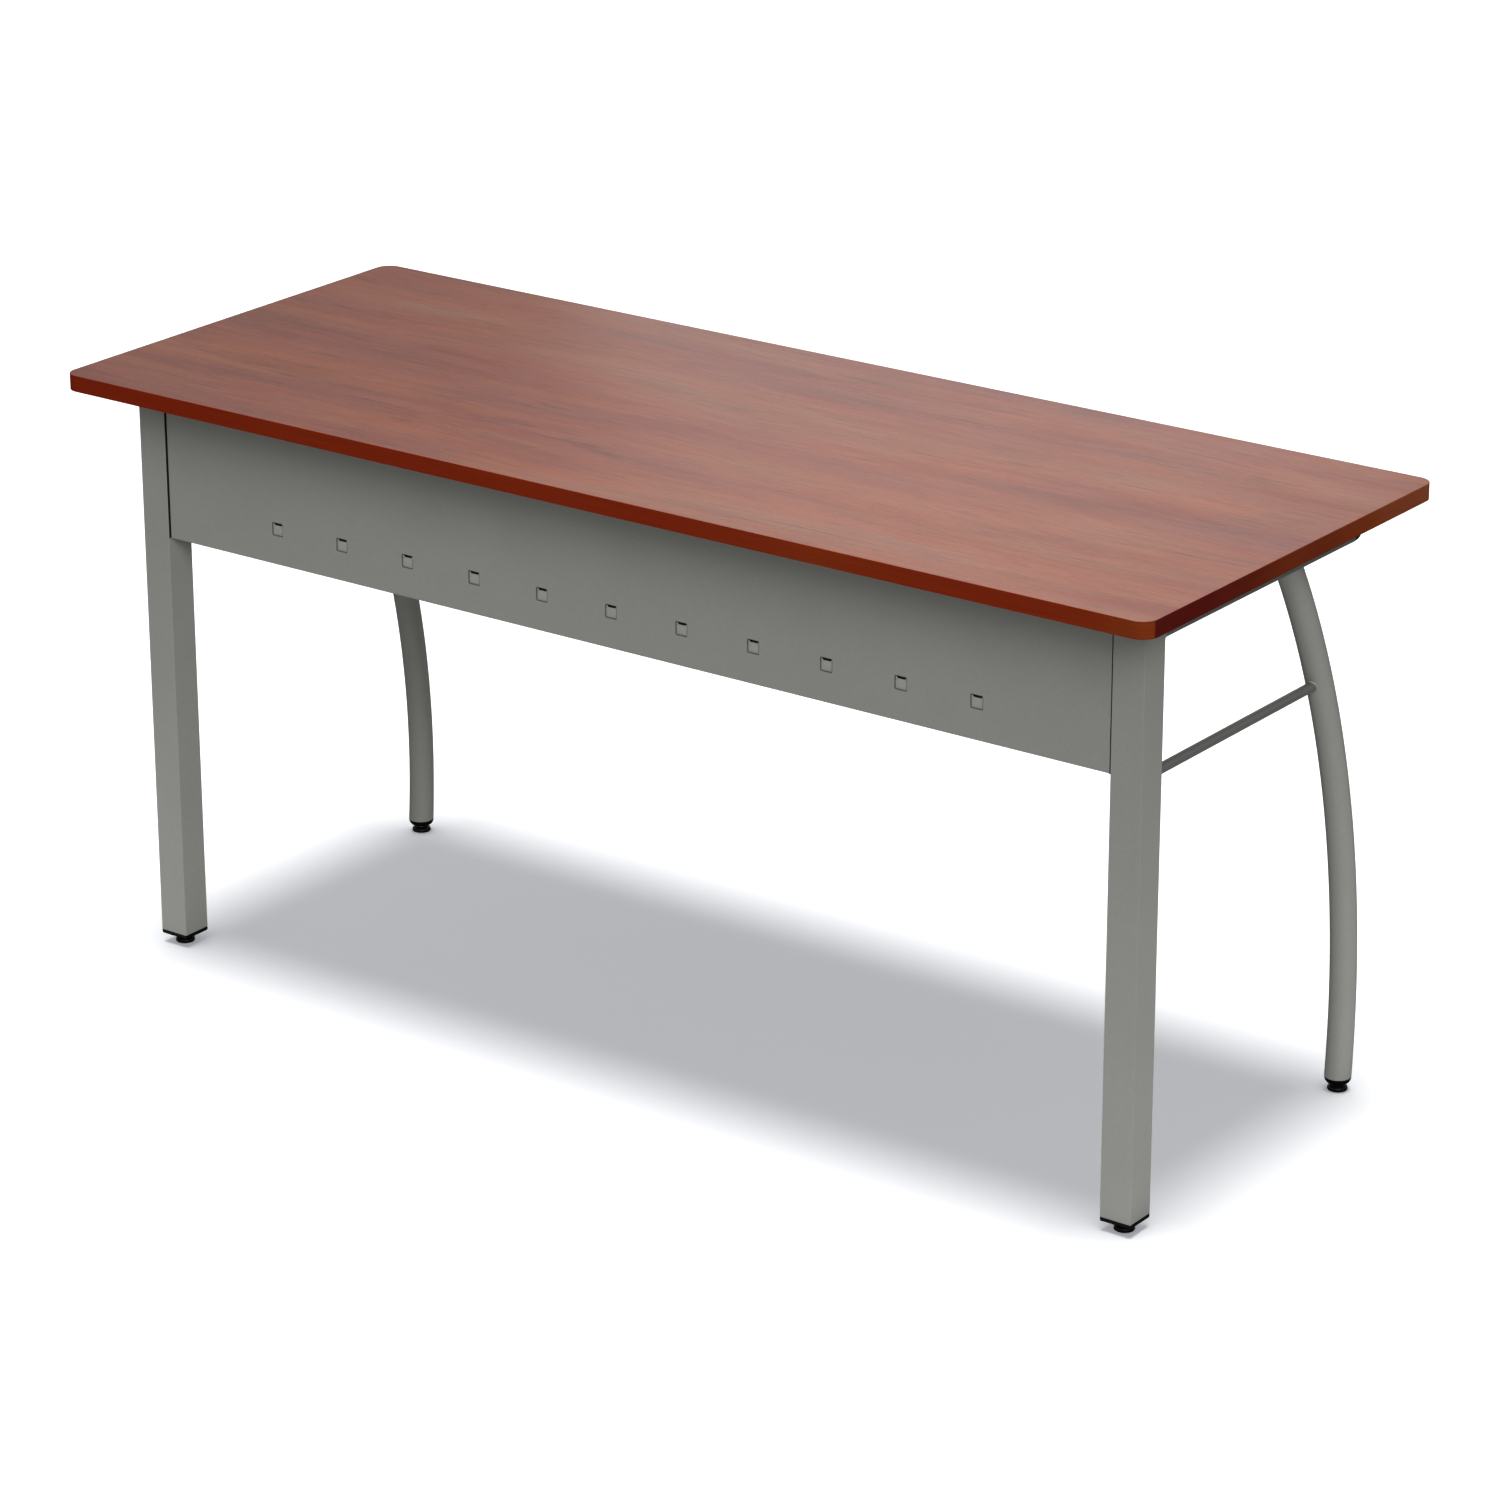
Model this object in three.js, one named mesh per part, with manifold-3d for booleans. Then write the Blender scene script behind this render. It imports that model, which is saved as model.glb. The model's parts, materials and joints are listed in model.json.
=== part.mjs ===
// Teacher desk: a laminate worktop on two welded steel side frames, tied together at the front
// by a folded modesty panel with a row of pressed squares, and standing on four levelling glides.
//
// Millimetres. +X runs along the desk, +Y from the modesty panel to the sitter, +Z up.
// The origin is on the floor, under the middle of the worktop.

import * as THREE from 'three';
import { mergeVertices } from 'three/addons/utils/BufferGeometryUtils.js';
import Module from 'manifold-3d';

const wasm = await Module();
wasm.setup();

// ---------------------------------------------------------------- driving dimensions

// Worktop: a core board between a decorative sheet and a backing sheet, with a banded edge.
const TOP_LENGTH = 1530;
const TOP_DEPTH = 600;
const TOP_HEIGHT = 749;
const TOP_THICKNESS = 20;
const TOP_CORNER = 20;
const BAND_THICKNESS = 0.8;
const LAMINATE_THICKNESS = 0.8;
const BACKER_THICKNESS = 0.5;
const UNDERSIDE = TOP_HEIGHT - TOP_THICKNESS;

// Side frames: square front leg and top rail, bowed round rear leg, thin round tie rod.
const FRAME_X = 695;
const TUBE_SIZE = 40;
const TUBE_WALL = 1.5;
const TUBE_CORNER = 2;
const LEG_Y = -204;
const TUBE_BOTTOM = 17;
const REAR_DIAMETER = 32;
const BOW_RADIUS = 1140;
const BOW_FRONT_Y = -879.5;
const BOW_MIDDLE_Z = 106;
const RAIL_HEIGHT = 38;
const RAIL_END_Y = 213;
const RAIL_NOSE_LENGTH = 17;
const RAIL_NOSE_RADIUS = 16;
const ROD_DIAMETER = 12;
const ROD_Z = 529;

// Modesty panel: one folded steel sheet between the front legs.
const SHEET = 1.2;
const PANEL_SETBACK = 2;
const PANEL_BOTTOM = 538;
const BEND_RADIUS = 2.5;
const TOP_FLANGE = 28;
const SIDE_FLANGE = 31;
const BOTTOM_LIP = 12;
const SIDE_RELIEF = 3;
const SQUARE_COUNT = 11;
const SQUARE_PITCH = 100.2;
const SQUARE_SIZE = 15;
const SQUARE_CORNER = 2.5;
const SQUARE_DEPTH = 2.5;
const SQUARE_Z = 583;

// Levelling glides, one under each leg, with an M8 stud.
const REAR_FOOT_Y = 257;
const STUD_RADIUS = 4;
const STUD_HEAD_RADIUS = 6;
const STUD_TOP = 33;
const PAD_RADIUS = 12;
const PAD_HEIGHT = 6;
const CAP_BOTTOM = 8.5;
const CAP_BOSS_RADIUS = 9.5;
const CAP_FLANGE = 6;
const CAP_PLUG = 20;
const RUNNING_GAP = 0.4;
const FIT_GAP = 0.3;

// Fasteners.
const BOLT_RADIUS = 3;
const BOLT_HEAD_RADIUS = 5.3;
const BOLT_HEAD_HEIGHT = 3.3;
const BOLT_LENGTH = 13;
const NUT_ACROSS_CORNERS = 11.5;
const NUT_HEIGHT = 5;
const PANEL_BOLT_Z = [575, 700];
const RAIL_SCREW_Y = [-140, 15, 170];
const RAIL_SCREW_LENGTH = 14;
const ACCESS_HOLE_RADIUS = 7;
const INSERT_RADIUS = 5;
const INSERT_LENGTH = 13;
const WOOD_SCREW_RADIUS = 1.9;
const WOOD_SCREW_HEAD_RADIUS = 3.8;
const WOOD_SCREW_HEAD_HEIGHT = 2.2;
const WOOD_SCREW_LENGTH = 15;
const WOOD_SCREW_COUNT = 5;
const WOOD_SCREW_PITCH = 280;

// Fineness of curves.
const CORNER_STEPS = 3;
const TOP_CORNER_STEPS = 6;
const SMALL_SIDES = 10;
const FOOT_SIDES = 14;
const BOW_SIDES = 16;
const BORE_SIDES = 10;
const BOW_STEPS = 12;

// ---------------------------------------------------------------- materials

function material(color, roughness, metalness) {
  return () => new THREE.MeshStandardMaterial({ color, roughness, metalness });
}

const cherryLaminate = material(0x9a5f50, 0.42, 0);
const edgePlastic = material(0x6e2616, 0.35, 0);
const backingSheet = material(0x6b5a4c, 0.7, 0);
const coreBoard = material(0xb08f66, 0.9, 0);
const frameCoat = material(0x84867f, 0.45, 0.35);
const blackPlastic = material(0x121212, 0.3, 0);
const zincSteel = material(0xb4b5b0, 0.35, 0.9);

// ---------------------------------------------------------------- shape helpers

function roundedRect(width, height, radius) {
  const shape = new THREE.Shape();
  const x = width / 2 - radius;
  const y = height / 2 - radius;
  shape.absarc(x, y, radius, 0, 0.5 * Math.PI);
  shape.absarc(-x, y, radius, 0.5 * Math.PI, Math.PI);
  shape.absarc(-x, -y, radius, Math.PI, 1.5 * Math.PI);
  shape.absarc(x, -y, radius, 1.5 * Math.PI, 2 * Math.PI);
  return shape;
}

function polygon(radius, sides) {
  const points = [];
  for (let i = 0; i < sides; i += 1) {
    const angle = (2 * Math.PI * i) / sides;
    points.push(new THREE.Vector2(radius * Math.cos(angle), radius * Math.sin(angle)));
  }
  return new THREE.Shape(points);
}

// A prism of the shape from z = low up to z = high.
function prism(shape, low, high, curveSegments = CORNER_STEPS) {
  const geometry = new THREE.ExtrudeGeometry(shape, {
    depth: high - low,
    bevelEnabled: false,
    curveSegments,
  });
  return geometry.translate(0, 0, low);
}

function cylinder(radius, low, high, sides = SMALL_SIDES) {
  return prism(polygon(radius, sides), low, high);
}

// A solid of revolution about Z from [radius, z] pairs that start and end on the axis.
function revolve(profile, sides) {
  const points = profile.map(([radius, z]) => new THREE.Vector2(radius, z));
  return new THREE.LatheGeometry(points, sides).rotateX(Math.PI / 2);
}

// Turns a solid built along +Z so that it runs along +X or along +Y.
const alongX = (geometry) => geometry.rotateY(Math.PI / 2);
const alongY = (geometry) => geometry.rotateX(-Math.PI / 2);

function toSolid(geometry) {
  const bare = geometry.clone();
  bare.deleteAttribute('normal');
  bare.deleteAttribute('uv');
  const merged = mergeVertices(bare, 1e-4);
  return new wasm.Manifold(new wasm.Mesh({
    numProp: 3,
    vertProperties: Float32Array.from(merged.attributes.position.array),
    triVerts: Uint32Array.from(merged.index.array),
  }));
}

function toGeometry(solid) {
  const mesh = solid.getMesh();
  const geometry = new THREE.BufferGeometry();
  geometry.setAttribute('position', new THREE.BufferAttribute(mesh.vertProperties, 3));
  geometry.setIndex(new THREE.BufferAttribute(mesh.triVerts, 1));
  geometry.computeVertexNormals();
  return geometry;
}

function join(first, ...others) {
  return toGeometry(others.reduce((whole, part) => whole.add(toSolid(part)), toSolid(first)));
}

function cut(first, ...tools) {
  return toGeometry(tools.reduce((left, tool) => left.subtract(toSolid(tool)), toSolid(first)));
}

function common(first, second) {
  return toGeometry(toSolid(first).intersect(toSolid(second)));
}

const desk = new THREE.Group();

function place(parent, name, geometry, makeMaterial, x = 0, y = 0, z = 0) {
  const mesh = new THREE.Mesh(geometry, makeMaterial());
  mesh.name = name;
  mesh.position.set(x, y, z);
  parent.add(mesh);
  return mesh;
}

const SIDES = [['left', -1], ['right', 1]];

// ---------------------------------------------------------------- worktop

const woodScrewX = [];
for (let i = 0; i < WOOD_SCREW_COUNT; i += 1) {
  woodScrewX.push((i - (WOOD_SCREW_COUNT - 1) / 2) * WOOD_SCREW_PITCH);
}
const WOOD_SCREW_Y = LEG_Y - 2;

// Pockets that the underside needs: six for the threaded inserts, and pilot holes for the
// wood screws of the panel's top flange.
function undersidePockets() {
  const pockets = [];
  for (const [, side] of SIDES) {
    for (const y of RAIL_SCREW_Y) {
      const top = UNDERSIDE + INSERT_LENGTH + 1;
      const pocket = cylinder(INSERT_RADIUS + FIT_GAP, UNDERSIDE - 1, top);
      pockets.push(pocket.translate(side * FRAME_X, y, 0));
    }
  }
  for (const x of woodScrewX) {
    const top = UNDERSIDE + WOOD_SCREW_LENGTH + FIT_GAP;
    const pilot = cylinder(WOOD_SCREW_RADIUS + FIT_GAP, UNDERSIDE - 1, top);
    pockets.push(pilot.translate(x, WOOD_SCREW_Y, 0));
  }
  return pockets;
}

function worktop() {
  const group = new THREE.Group();
  const outer = roundedRect(TOP_LENGTH, TOP_DEPTH, TOP_CORNER);
  const inner = roundedRect(
    TOP_LENGTH - 2 * BAND_THICKNESS,
    TOP_DEPTH - 2 * BAND_THICKNESS,
    TOP_CORNER - BAND_THICKNESS,
  );
  outer.holes.push(inner);
  const coreLow = UNDERSIDE + BACKER_THICKNESS;
  const coreHigh = TOP_HEIGHT - LAMINATE_THICKNESS;
  const board = (low, high) => prism(inner, low, high, TOP_CORNER_STEPS);

  const core = cut(board(coreLow, coreHigh), ...undersidePockets());
  const backer = cut(board(UNDERSIDE, coreLow), ...undersidePockets());
  const band = prism(outer, UNDERSIDE, TOP_HEIGHT, TOP_CORNER_STEPS);
  place(group, 'worktop_core', core, coreBoard);
  place(group, 'worktop_laminate', board(coreHigh, TOP_HEIGHT), cherryLaminate);
  place(group, 'worktop_backer', backer, backingSheet);
  place(group, 'worktop_edge_band', band, edgePlastic);
  return group;
}

// ---------------------------------------------------------------- side frames

function boxTube(size, low, high) {
  const shape = roundedRect(TUBE_SIZE, size, TUBE_CORNER);
  const bore = [TUBE_SIZE - 2 * TUBE_WALL, size - 2 * TUBE_WALL];
  shape.holes.push(roundedRect(...bore, TUBE_CORNER - TUBE_WALL));
  return prism(shape, low, high, 2);
}

// The leg's inner wall has a hole behind each bolt of the modesty panel.
function frontLeg(side) {
  const holes = PANEL_BOLT_Z.map((z) => {
    const hole = alongX(cylinder(BOLT_RADIUS + FIT_GAP, 0, TUBE_SIZE / 2 + 1));
    return (side > 0 ? hole.rotateZ(Math.PI) : hole).translate(0, 0, z);
  });
  return cut(boxTube(TUBE_SIZE, TUBE_BOTTOM, UNDERSIDE), ...holes);
}

// The rail lies flat against the worktop, behind the front leg. Its top wall carries the
// screws, and the larger holes in its bottom wall let the screwdriver in.
function sideRail() {
  const front = LEG_Y + TUBE_SIZE / 2;
  const rail = alongY(boxTube(RAIL_HEIGHT, front, RAIL_END_Y));
  const half = RAIL_HEIGHT / 2;
  const holes = RAIL_SCREW_Y.flatMap((y) => [
    cylinder(BOLT_RADIUS + FIT_GAP, 0, half + 1).translate(0, y, 0),
    cylinder(ACCESS_HOLE_RADIUS, -half - 1, 0).translate(0, y, 0),
  ]);
  return cut(rail, ...holes);
}

// A round-nosed plug: the nose shows behind the rail, the tongue sits inside it.
function railEndCap() {
  const half = RAIL_HEIGHT / 2;
  const straight = half - RAIL_NOSE_RADIUS;
  const flat = RAIL_NOSE_LENGTH - RAIL_NOSE_RADIUS;
  const nose = new THREE.Shape();
  nose.moveTo(0, -half);
  nose.absarc(flat, -straight, RAIL_NOSE_RADIUS, -0.5 * Math.PI, 0);
  nose.absarc(flat, straight, RAIL_NOSE_RADIUS, 0, 0.5 * Math.PI);
  nose.lineTo(0, half);
  // The elevation is drawn in (length, height) and swept across the tube's width.
  const side = TUBE_SIZE / 2;
  const body = prism(nose, -side, side, 6).rotateX(Math.PI / 2).rotateZ(Math.PI / 2);
  const wall = 2 * (TUBE_WALL + FIT_GAP);
  const section = roundedRect(TUBE_SIZE - wall, RAIL_HEIGHT - wall, 1);
  const tongue = alongY(prism(section, -CAP_PLUG, 1, 1));
  return join(body, tongue);
}

// Where the rear leg's centre line is at a given height.
function bowY(z) {
  return BOW_FRONT_Y + Math.sqrt(BOW_RADIUS ** 2 - (z - BOW_MIDDLE_Z) ** 2);
}

// The rear leg's centre line, an arc in the plane of the side frame.
class Bow extends THREE.Curve {
  constructor(lowZ, highZ) {
    super();
    this.low = Math.asin((lowZ - BOW_MIDDLE_Z) / BOW_RADIUS);
    this.high = Math.asin((highZ - BOW_MIDDLE_Z) / BOW_RADIUS);
  }

  getPoint(t, target = new THREE.Vector3()) {
    const angle = this.low + (this.high - this.low) * t;
    const y = BOW_FRONT_Y + BOW_RADIUS * Math.cos(angle);
    const z = BOW_MIDDLE_Z + BOW_RADIUS * Math.sin(angle);
    return target.set(0, y, z);
  }
}

const RAIL_BOTTOM = UNDERSIDE - RAIL_HEIGHT;
const BOW_OVERRUN = 14;

function bow(shape) {
  return new THREE.ExtrudeGeometry(shape, {
    steps: BOW_STEPS,
    curveSegments: BOW_SIDES,
    extrudePath: new Bow(TUBE_BOTTOM - BOW_OVERRUN, RAIL_BOTTOM + BOW_OVERRUN),
    bevelEnabled: false,
  });
}

// Both ends of the bowed tube are cut level: at the foot, and under the rail.
function rearLeg() {
  const radius = REAR_DIAMETER / 2;
  const wall = polygon(radius, BOW_SIDES);
  wall.holes.push(polygon(radius - TUBE_WALL, BORE_SIDES));
  const slab = new THREE.BoxGeometry(TUBE_SIZE, 1000, RAIL_BOTTOM - TUBE_BOTTOM);
  return common(bow(wall), slab.translate(0, 0, (RAIL_BOTTOM + TUBE_BOTTOM) / 2));
}

// The rod's rear end is coped round the rear leg.
function sideRod() {
  const front = LEG_Y + TUBE_SIZE / 2;
  const rod = alongY(cylinder(ROD_DIAMETER / 2, front, bowY(ROD_Z), FOOT_SIDES));
  rod.translate(0, 0, ROD_Z);
  return cut(rod, bow(polygon(REAR_DIAMETER / 2 + FIT_GAP, BOW_SIDES)));
}

function sideFrame(label, side) {
  const group = new THREE.Group();
  group.position.x = side * FRAME_X;
  const railZ = UNDERSIDE - RAIL_HEIGHT / 2;
  place(group, `front_leg_${label}`, frontLeg(side), frameCoat, 0, LEG_Y, 0);
  place(group, `side_rail_${label}`, sideRail(), frameCoat, 0, 0, railZ);
  place(group, `rail_end_cap_${label}`, railEndCap(), blackPlastic, 0, RAIL_END_Y, railZ);
  place(group, `rear_leg_${label}`, rearLeg(), frameCoat);
  place(group, `side_rod_${label}`, sideRod(), frameCoat);
  return group;
}

// ---------------------------------------------------------------- feet

// The plug in a square leg: flange, round boss below it, and a tongue up inside the tube.
function squareCap() {
  const flangeLow = TUBE_BOTTOM - CAP_FLANGE;
  const tongueSize = TUBE_SIZE - 2 * (TUBE_WALL + FIT_GAP);
  const whole = join(
    prism(roundedRect(TUBE_SIZE, TUBE_SIZE, TUBE_CORNER), flangeLow, TUBE_BOTTOM, 2),
    prism(roundedRect(tongueSize, tongueSize, 1), flangeLow, TUBE_BOTTOM + CAP_PLUG, 1),
    cylinder(CAP_BOSS_RADIUS, CAP_BOTTOM, TUBE_BOTTOM, FOOT_SIDES),
  );
  const bore = cylinder(STUD_RADIUS + RUNNING_GAP, 0, TUBE_BOTTOM + CAP_PLUG + 1, FOOT_SIDES);
  return cut(whole, bore);
}

// The plug in a round leg: a dome below the tube. Its tongue is slim, because the tube bows.
function roundCap() {
  const tongueRadius = REAR_DIAMETER / 2 - TUBE_WALL - 2;
  const domeHeight = TUBE_BOTTOM - CAP_BOTTOM;
  const spread = REAR_DIAMETER / 2 - CAP_BOSS_RADIUS;
  const profile = [[0, CAP_BOTTOM]];
  for (let i = 0; i <= 4; i += 1) {
    const angle = (0.5 * Math.PI * i) / 4;
    profile.push([
      CAP_BOSS_RADIUS + spread * Math.sin(angle),
      TUBE_BOTTOM - domeHeight * Math.cos(angle),
    ]);
  }
  const top = TUBE_BOTTOM + 0.7 * CAP_PLUG;
  profile.push([tongueRadius, TUBE_BOTTOM], [tongueRadius, top], [0, top]);
  const bore = cylinder(STUD_RADIUS + RUNNING_GAP, 0, top + 1, FOOT_SIDES);
  return cut(revolve(profile, FOOT_SIDES), bore);
}

// The pad holds the stud's head in an undercut socket, so that the stud can turn in it.
const SOCKET_FLOOR = 2;
const SOCKET_LIP = 4.2;
function glidePad() {
  const lip = STUD_RADIUS + RUNNING_GAP;
  const socket = STUD_HEAD_RADIUS + RUNNING_GAP;
  return revolve([
    [0, 0],
    [PAD_RADIUS - 1, 0],
    [PAD_RADIUS, 1],
    [PAD_RADIUS, 3],
    [PAD_RADIUS - 0.8, 4.6],
    [CAP_BOSS_RADIUS, PAD_HEIGHT],
    [lip, PAD_HEIGHT],
    [lip, SOCKET_LIP],
    [socket, SOCKET_LIP],
    [socket, SOCKET_FLOOR],
    [0, SOCKET_FLOOR],
  ], FOOT_SIDES);
}

function glideStud() {
  const headLow = SOCKET_FLOOR + 0.2;
  const headHigh = SOCKET_LIP - 0.2;
  return revolve([
    [0, headLow],
    [STUD_HEAD_RADIUS, headLow],
    [STUD_HEAD_RADIUS, headHigh],
    [STUD_RADIUS, headHigh],
    [STUD_RADIUS, STUD_TOP - 1],
    [STUD_RADIUS - 1, STUD_TOP],
    [0, STUD_TOP],
  ], SMALL_SIDES);
}

function feet(label, side) {
  const group = new THREE.Group();
  group.position.x = side * FRAME_X;
  for (const [row, y, cap] of [['front', LEG_Y, squareCap], ['rear', REAR_FOOT_Y, roundCap]]) {
    place(group, `${row}_leg_cap_${label}`, cap(), blackPlastic, 0, y, 0);
    place(group, `glide_pad_${row}_${label}`, glidePad(), blackPlastic, 0, y, 0);
    place(group, `glide_stud_${row}_${label}`, glideStud(), zincSteel, 0, y, 0);
  }
  return group;
}

// ---------------------------------------------------------------- modesty panel

const PANEL_FRONT = LEG_Y - TUBE_SIZE / 2 + PANEL_SETBACK;
const PANEL_HALF = FRAME_X - TUBE_SIZE / 2;

// A strip of sheet seen edge on: a flange of the given length, a bend, then a straight run.
// It starts at the flange's free end and keeps the sheet's outer side on the outside.
function foldedEdge(flange, run) {
  const r = BEND_RADIUS;
  const shape = new THREE.Shape();
  shape.moveTo(flange, 0);
  shape.absarc(r, r, r, 1.5 * Math.PI, Math.PI, true);
  shape.lineTo(0, run);
  shape.lineTo(SHEET, run);
  shape.absarc(r, r, r - SHEET, Math.PI, 1.5 * Math.PI, false);
  shape.lineTo(flange, SHEET);
  return shape;
}

// Places a strip drawn in (depth, height) so that it spans the panel from x = -half to half.
function acrossPanel(shape, half) {
  const strip = prism(shape, -half, half, 3).rotateX(Math.PI / 2).rotateZ(Math.PI / 2);
  return strip.translate(0, PANEL_FRONT, 0);
}

function pressedSquares(size, radius, low, high) {
  const squares = [];
  for (let i = 0; i < SQUARE_COUNT; i += 1) {
    const square = alongY(prism(roundedRect(size, size, radius), low, high, 1));
    const x = (i - (SQUARE_COUNT - 1) / 2) * SQUARE_PITCH;
    squares.push(square.translate(x, PANEL_FRONT, SQUARE_Z));
  }
  return squares;
}

function modestyPanel() {
  const height = UNDERSIDE - PANEL_BOTTOM;
  const middle = height / 2;
  const faceHalf = PANEL_HALF - BEND_RADIUS;
  const lower = acrossPanel(foldedEdge(BOTTOM_LIP, middle), faceHalf);
  const upper = acrossPanel(foldedEdge(TOP_FLANGE, middle + 1), faceHalf);
  lower.translate(0, 0, PANEL_BOTTOM);
  upper.rotateY(Math.PI).translate(0, 0, UNDERSIDE);

  // Side flanges turn back along the legs' inner faces. They stop short of the other folds.
  const sideLow = PANEL_BOTTOM + SIDE_RELIEF;
  const sideHigh = UNDERSIDE - SIDE_RELIEF;
  const flange = () => prism(foldedEdge(SIDE_FLANGE, BEND_RADIUS + 1), sideLow, sideHigh, 3);
  const left = flange().rotateZ(Math.PI / 2).scale(-1, 1, 1);
  flipWinding(left).translate(-PANEL_HALF, PANEL_FRONT, 0);
  const right = flange().rotateZ(Math.PI / 2).translate(PANEL_HALF, PANEL_FRONT, 0);

  const bumpSize = SQUARE_SIZE + 2 * SHEET;
  const bumpRadius = SQUARE_CORNER + SHEET;
  const bumps = pressedSquares(bumpSize, bumpRadius, SHEET / 2, SQUARE_DEPTH + SHEET);
  const pockets = pressedSquares(SQUARE_SIZE, SQUARE_CORNER, -1, SQUARE_DEPTH);
  const boltHoles = PANEL_BOLT_Z.map((z) => {
    const across = cylinder(BOLT_RADIUS + FIT_GAP, -FRAME_X, FRAME_X);
    return alongX(across).translate(0, LEG_Y, z);
  });
  const screwHoles = woodScrewX.map((x) => {
    const hole = cylinder(WOOD_SCREW_RADIUS + FIT_GAP, UNDERSIDE - 5, UNDERSIDE + 1);
    return hole.translate(x, WOOD_SCREW_Y, 0);
  });
  const sheet = join(lower, upper, left, right, ...bumps);
  return cut(sheet, ...pockets, ...boltHoles, ...screwHoles);
}

// Swaps two corners of every triangle, after a mirror has turned the faces inside out.
function flipWinding(geometry) {
  const flat = geometry.index ? geometry.toNonIndexed() : geometry;
  const position = flat.attributes.position;
  const a = new THREE.Vector3();
  const b = new THREE.Vector3();
  for (let i = 0; i < position.count; i += 3) {
    a.fromBufferAttribute(position, i);
    b.fromBufferAttribute(position, i + 1);
    position.setXYZ(i, b.x, b.y, b.z);
    position.setXYZ(i + 1, a.x, a.y, a.z);
  }
  return flat;
}

// ---------------------------------------------------------------- fasteners

// A pan-headed screw along +Z: head below z = 0, shank above.
function screw(radius, length, headRadius, headHeight, sides = SMALL_SIDES) {
  return revolve([
    [0, -headHeight],
    [0.7 * headRadius, -headHeight],
    [headRadius, -0.45 * headHeight],
    [headRadius, 0],
    [radius, 0],
    [radius, length - 1],
    [radius - 1, length],
    [0, length],
  ], sides);
}

function ring(outer, outerSides, inner, length) {
  const shape = polygon(outer, outerSides);
  shape.holes.push(polygon(inner, SMALL_SIDES));
  return prism(shape, 0, length);
}

function fasteners() {
  const group = new THREE.Group();
  const flangeInside = PANEL_HALF - SHEET;
  const wallInside = PANEL_HALF + TUBE_WALL;
  for (const [label, side] of SIDES) {
    const turn = (geometry) => (side > 0 ? alongX(geometry) : alongX(geometry).rotateZ(Math.PI));
    PANEL_BOLT_Z.forEach((z, i) => {
      const bolt = turn(screw(BOLT_RADIUS, BOLT_LENGTH, BOLT_HEAD_RADIUS, BOLT_HEAD_HEIGHT));
      const nut = turn(ring(NUT_ACROSS_CORNERS / 2, 6, BOLT_RADIUS + FIT_GAP, NUT_HEIGHT));
      const tag = `${label}_${i + 1}`;
      place(group, `panel_bolt_${tag}`, bolt, zincSteel, side * flangeInside, LEG_Y, z);
      place(group, `panel_weld_nut_${tag}`, nut, zincSteel, side * wallInside, LEG_Y, z);
    });
    RAIL_SCREW_Y.forEach((y, i) => {
      const shank = RAIL_SCREW_LENGTH;
      const bolt = screw(BOLT_RADIUS, shank, BOLT_HEAD_RADIUS, BOLT_HEAD_HEIGHT);
      const insert = ring(INSERT_RADIUS, SMALL_SIDES, BOLT_RADIUS + FIT_GAP, INSERT_LENGTH);
      const tag = `${label}_${i + 1}`;
      const x = side * FRAME_X;
      place(group, `rail_screw_${tag}`, bolt, zincSteel, x, y, UNDERSIDE - TUBE_WALL);
      place(group, `top_insert_${tag}`, insert, zincSteel, x, y, UNDERSIDE);
    });
  }
  woodScrewX.forEach((x, i) => {
    const wood = screw(
      WOOD_SCREW_RADIUS,
      WOOD_SCREW_LENGTH,
      WOOD_SCREW_HEAD_RADIUS,
      WOOD_SCREW_HEAD_HEIGHT,
    );
    const name = `flange_screw_${i + 1}`;
    place(group, name, wood, zincSteel, x, WOOD_SCREW_Y, UNDERSIDE - SHEET);
  });
  return group;
}

// ---------------------------------------------------------------- assembly

desk.add(worktop());
for (const [label, side] of SIDES) {
  desk.add(sideFrame(label, side));
  desk.add(feet(label, side));
}
const panelGroup = new THREE.Group();
place(panelGroup, 'modesty_panel', modestyPanel(), frameCoat);
desk.add(panelGroup);
desk.add(fasteners());

export default desk;
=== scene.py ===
"""A teacher desk: laminate worktop, two welded steel side frames, folded modesty panel, four glides.

Lengths in the shape code are millimetres. The frame is in metres, with the origin on the floor under
the middle of the worktop, +X along the desk, +Y towards the sitter and +Z up.
"""

import json
import math

import bmesh
import bpy
from mathutils import Matrix, Vector, noise


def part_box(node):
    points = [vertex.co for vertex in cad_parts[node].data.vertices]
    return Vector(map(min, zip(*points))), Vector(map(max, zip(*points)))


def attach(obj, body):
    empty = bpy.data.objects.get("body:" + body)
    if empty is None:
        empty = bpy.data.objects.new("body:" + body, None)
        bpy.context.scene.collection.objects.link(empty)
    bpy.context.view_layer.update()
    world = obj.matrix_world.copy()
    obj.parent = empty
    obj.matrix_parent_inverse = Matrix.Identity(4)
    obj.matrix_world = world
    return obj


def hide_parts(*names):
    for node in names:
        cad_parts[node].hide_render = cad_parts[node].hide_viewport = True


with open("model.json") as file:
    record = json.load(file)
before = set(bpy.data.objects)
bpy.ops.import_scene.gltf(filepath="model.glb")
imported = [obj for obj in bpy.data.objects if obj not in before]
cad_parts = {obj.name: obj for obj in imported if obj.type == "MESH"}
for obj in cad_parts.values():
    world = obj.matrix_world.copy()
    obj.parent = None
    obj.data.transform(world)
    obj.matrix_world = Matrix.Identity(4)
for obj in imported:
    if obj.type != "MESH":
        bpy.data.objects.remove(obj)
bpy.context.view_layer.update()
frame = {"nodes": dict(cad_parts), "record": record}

MM = 0.001
SIDES = (("left", -1), ("right", 1))


def box_mm(node):
    low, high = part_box(node)
    return [c / MM for c in low], [c / MM for c in high]


def centre_of(node):
    low, high = box_mm(node)
    return [(a + b) / 2 for a, b in zip(low, high)]


# ------------------------------------------------------------------ dimensions

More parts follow.
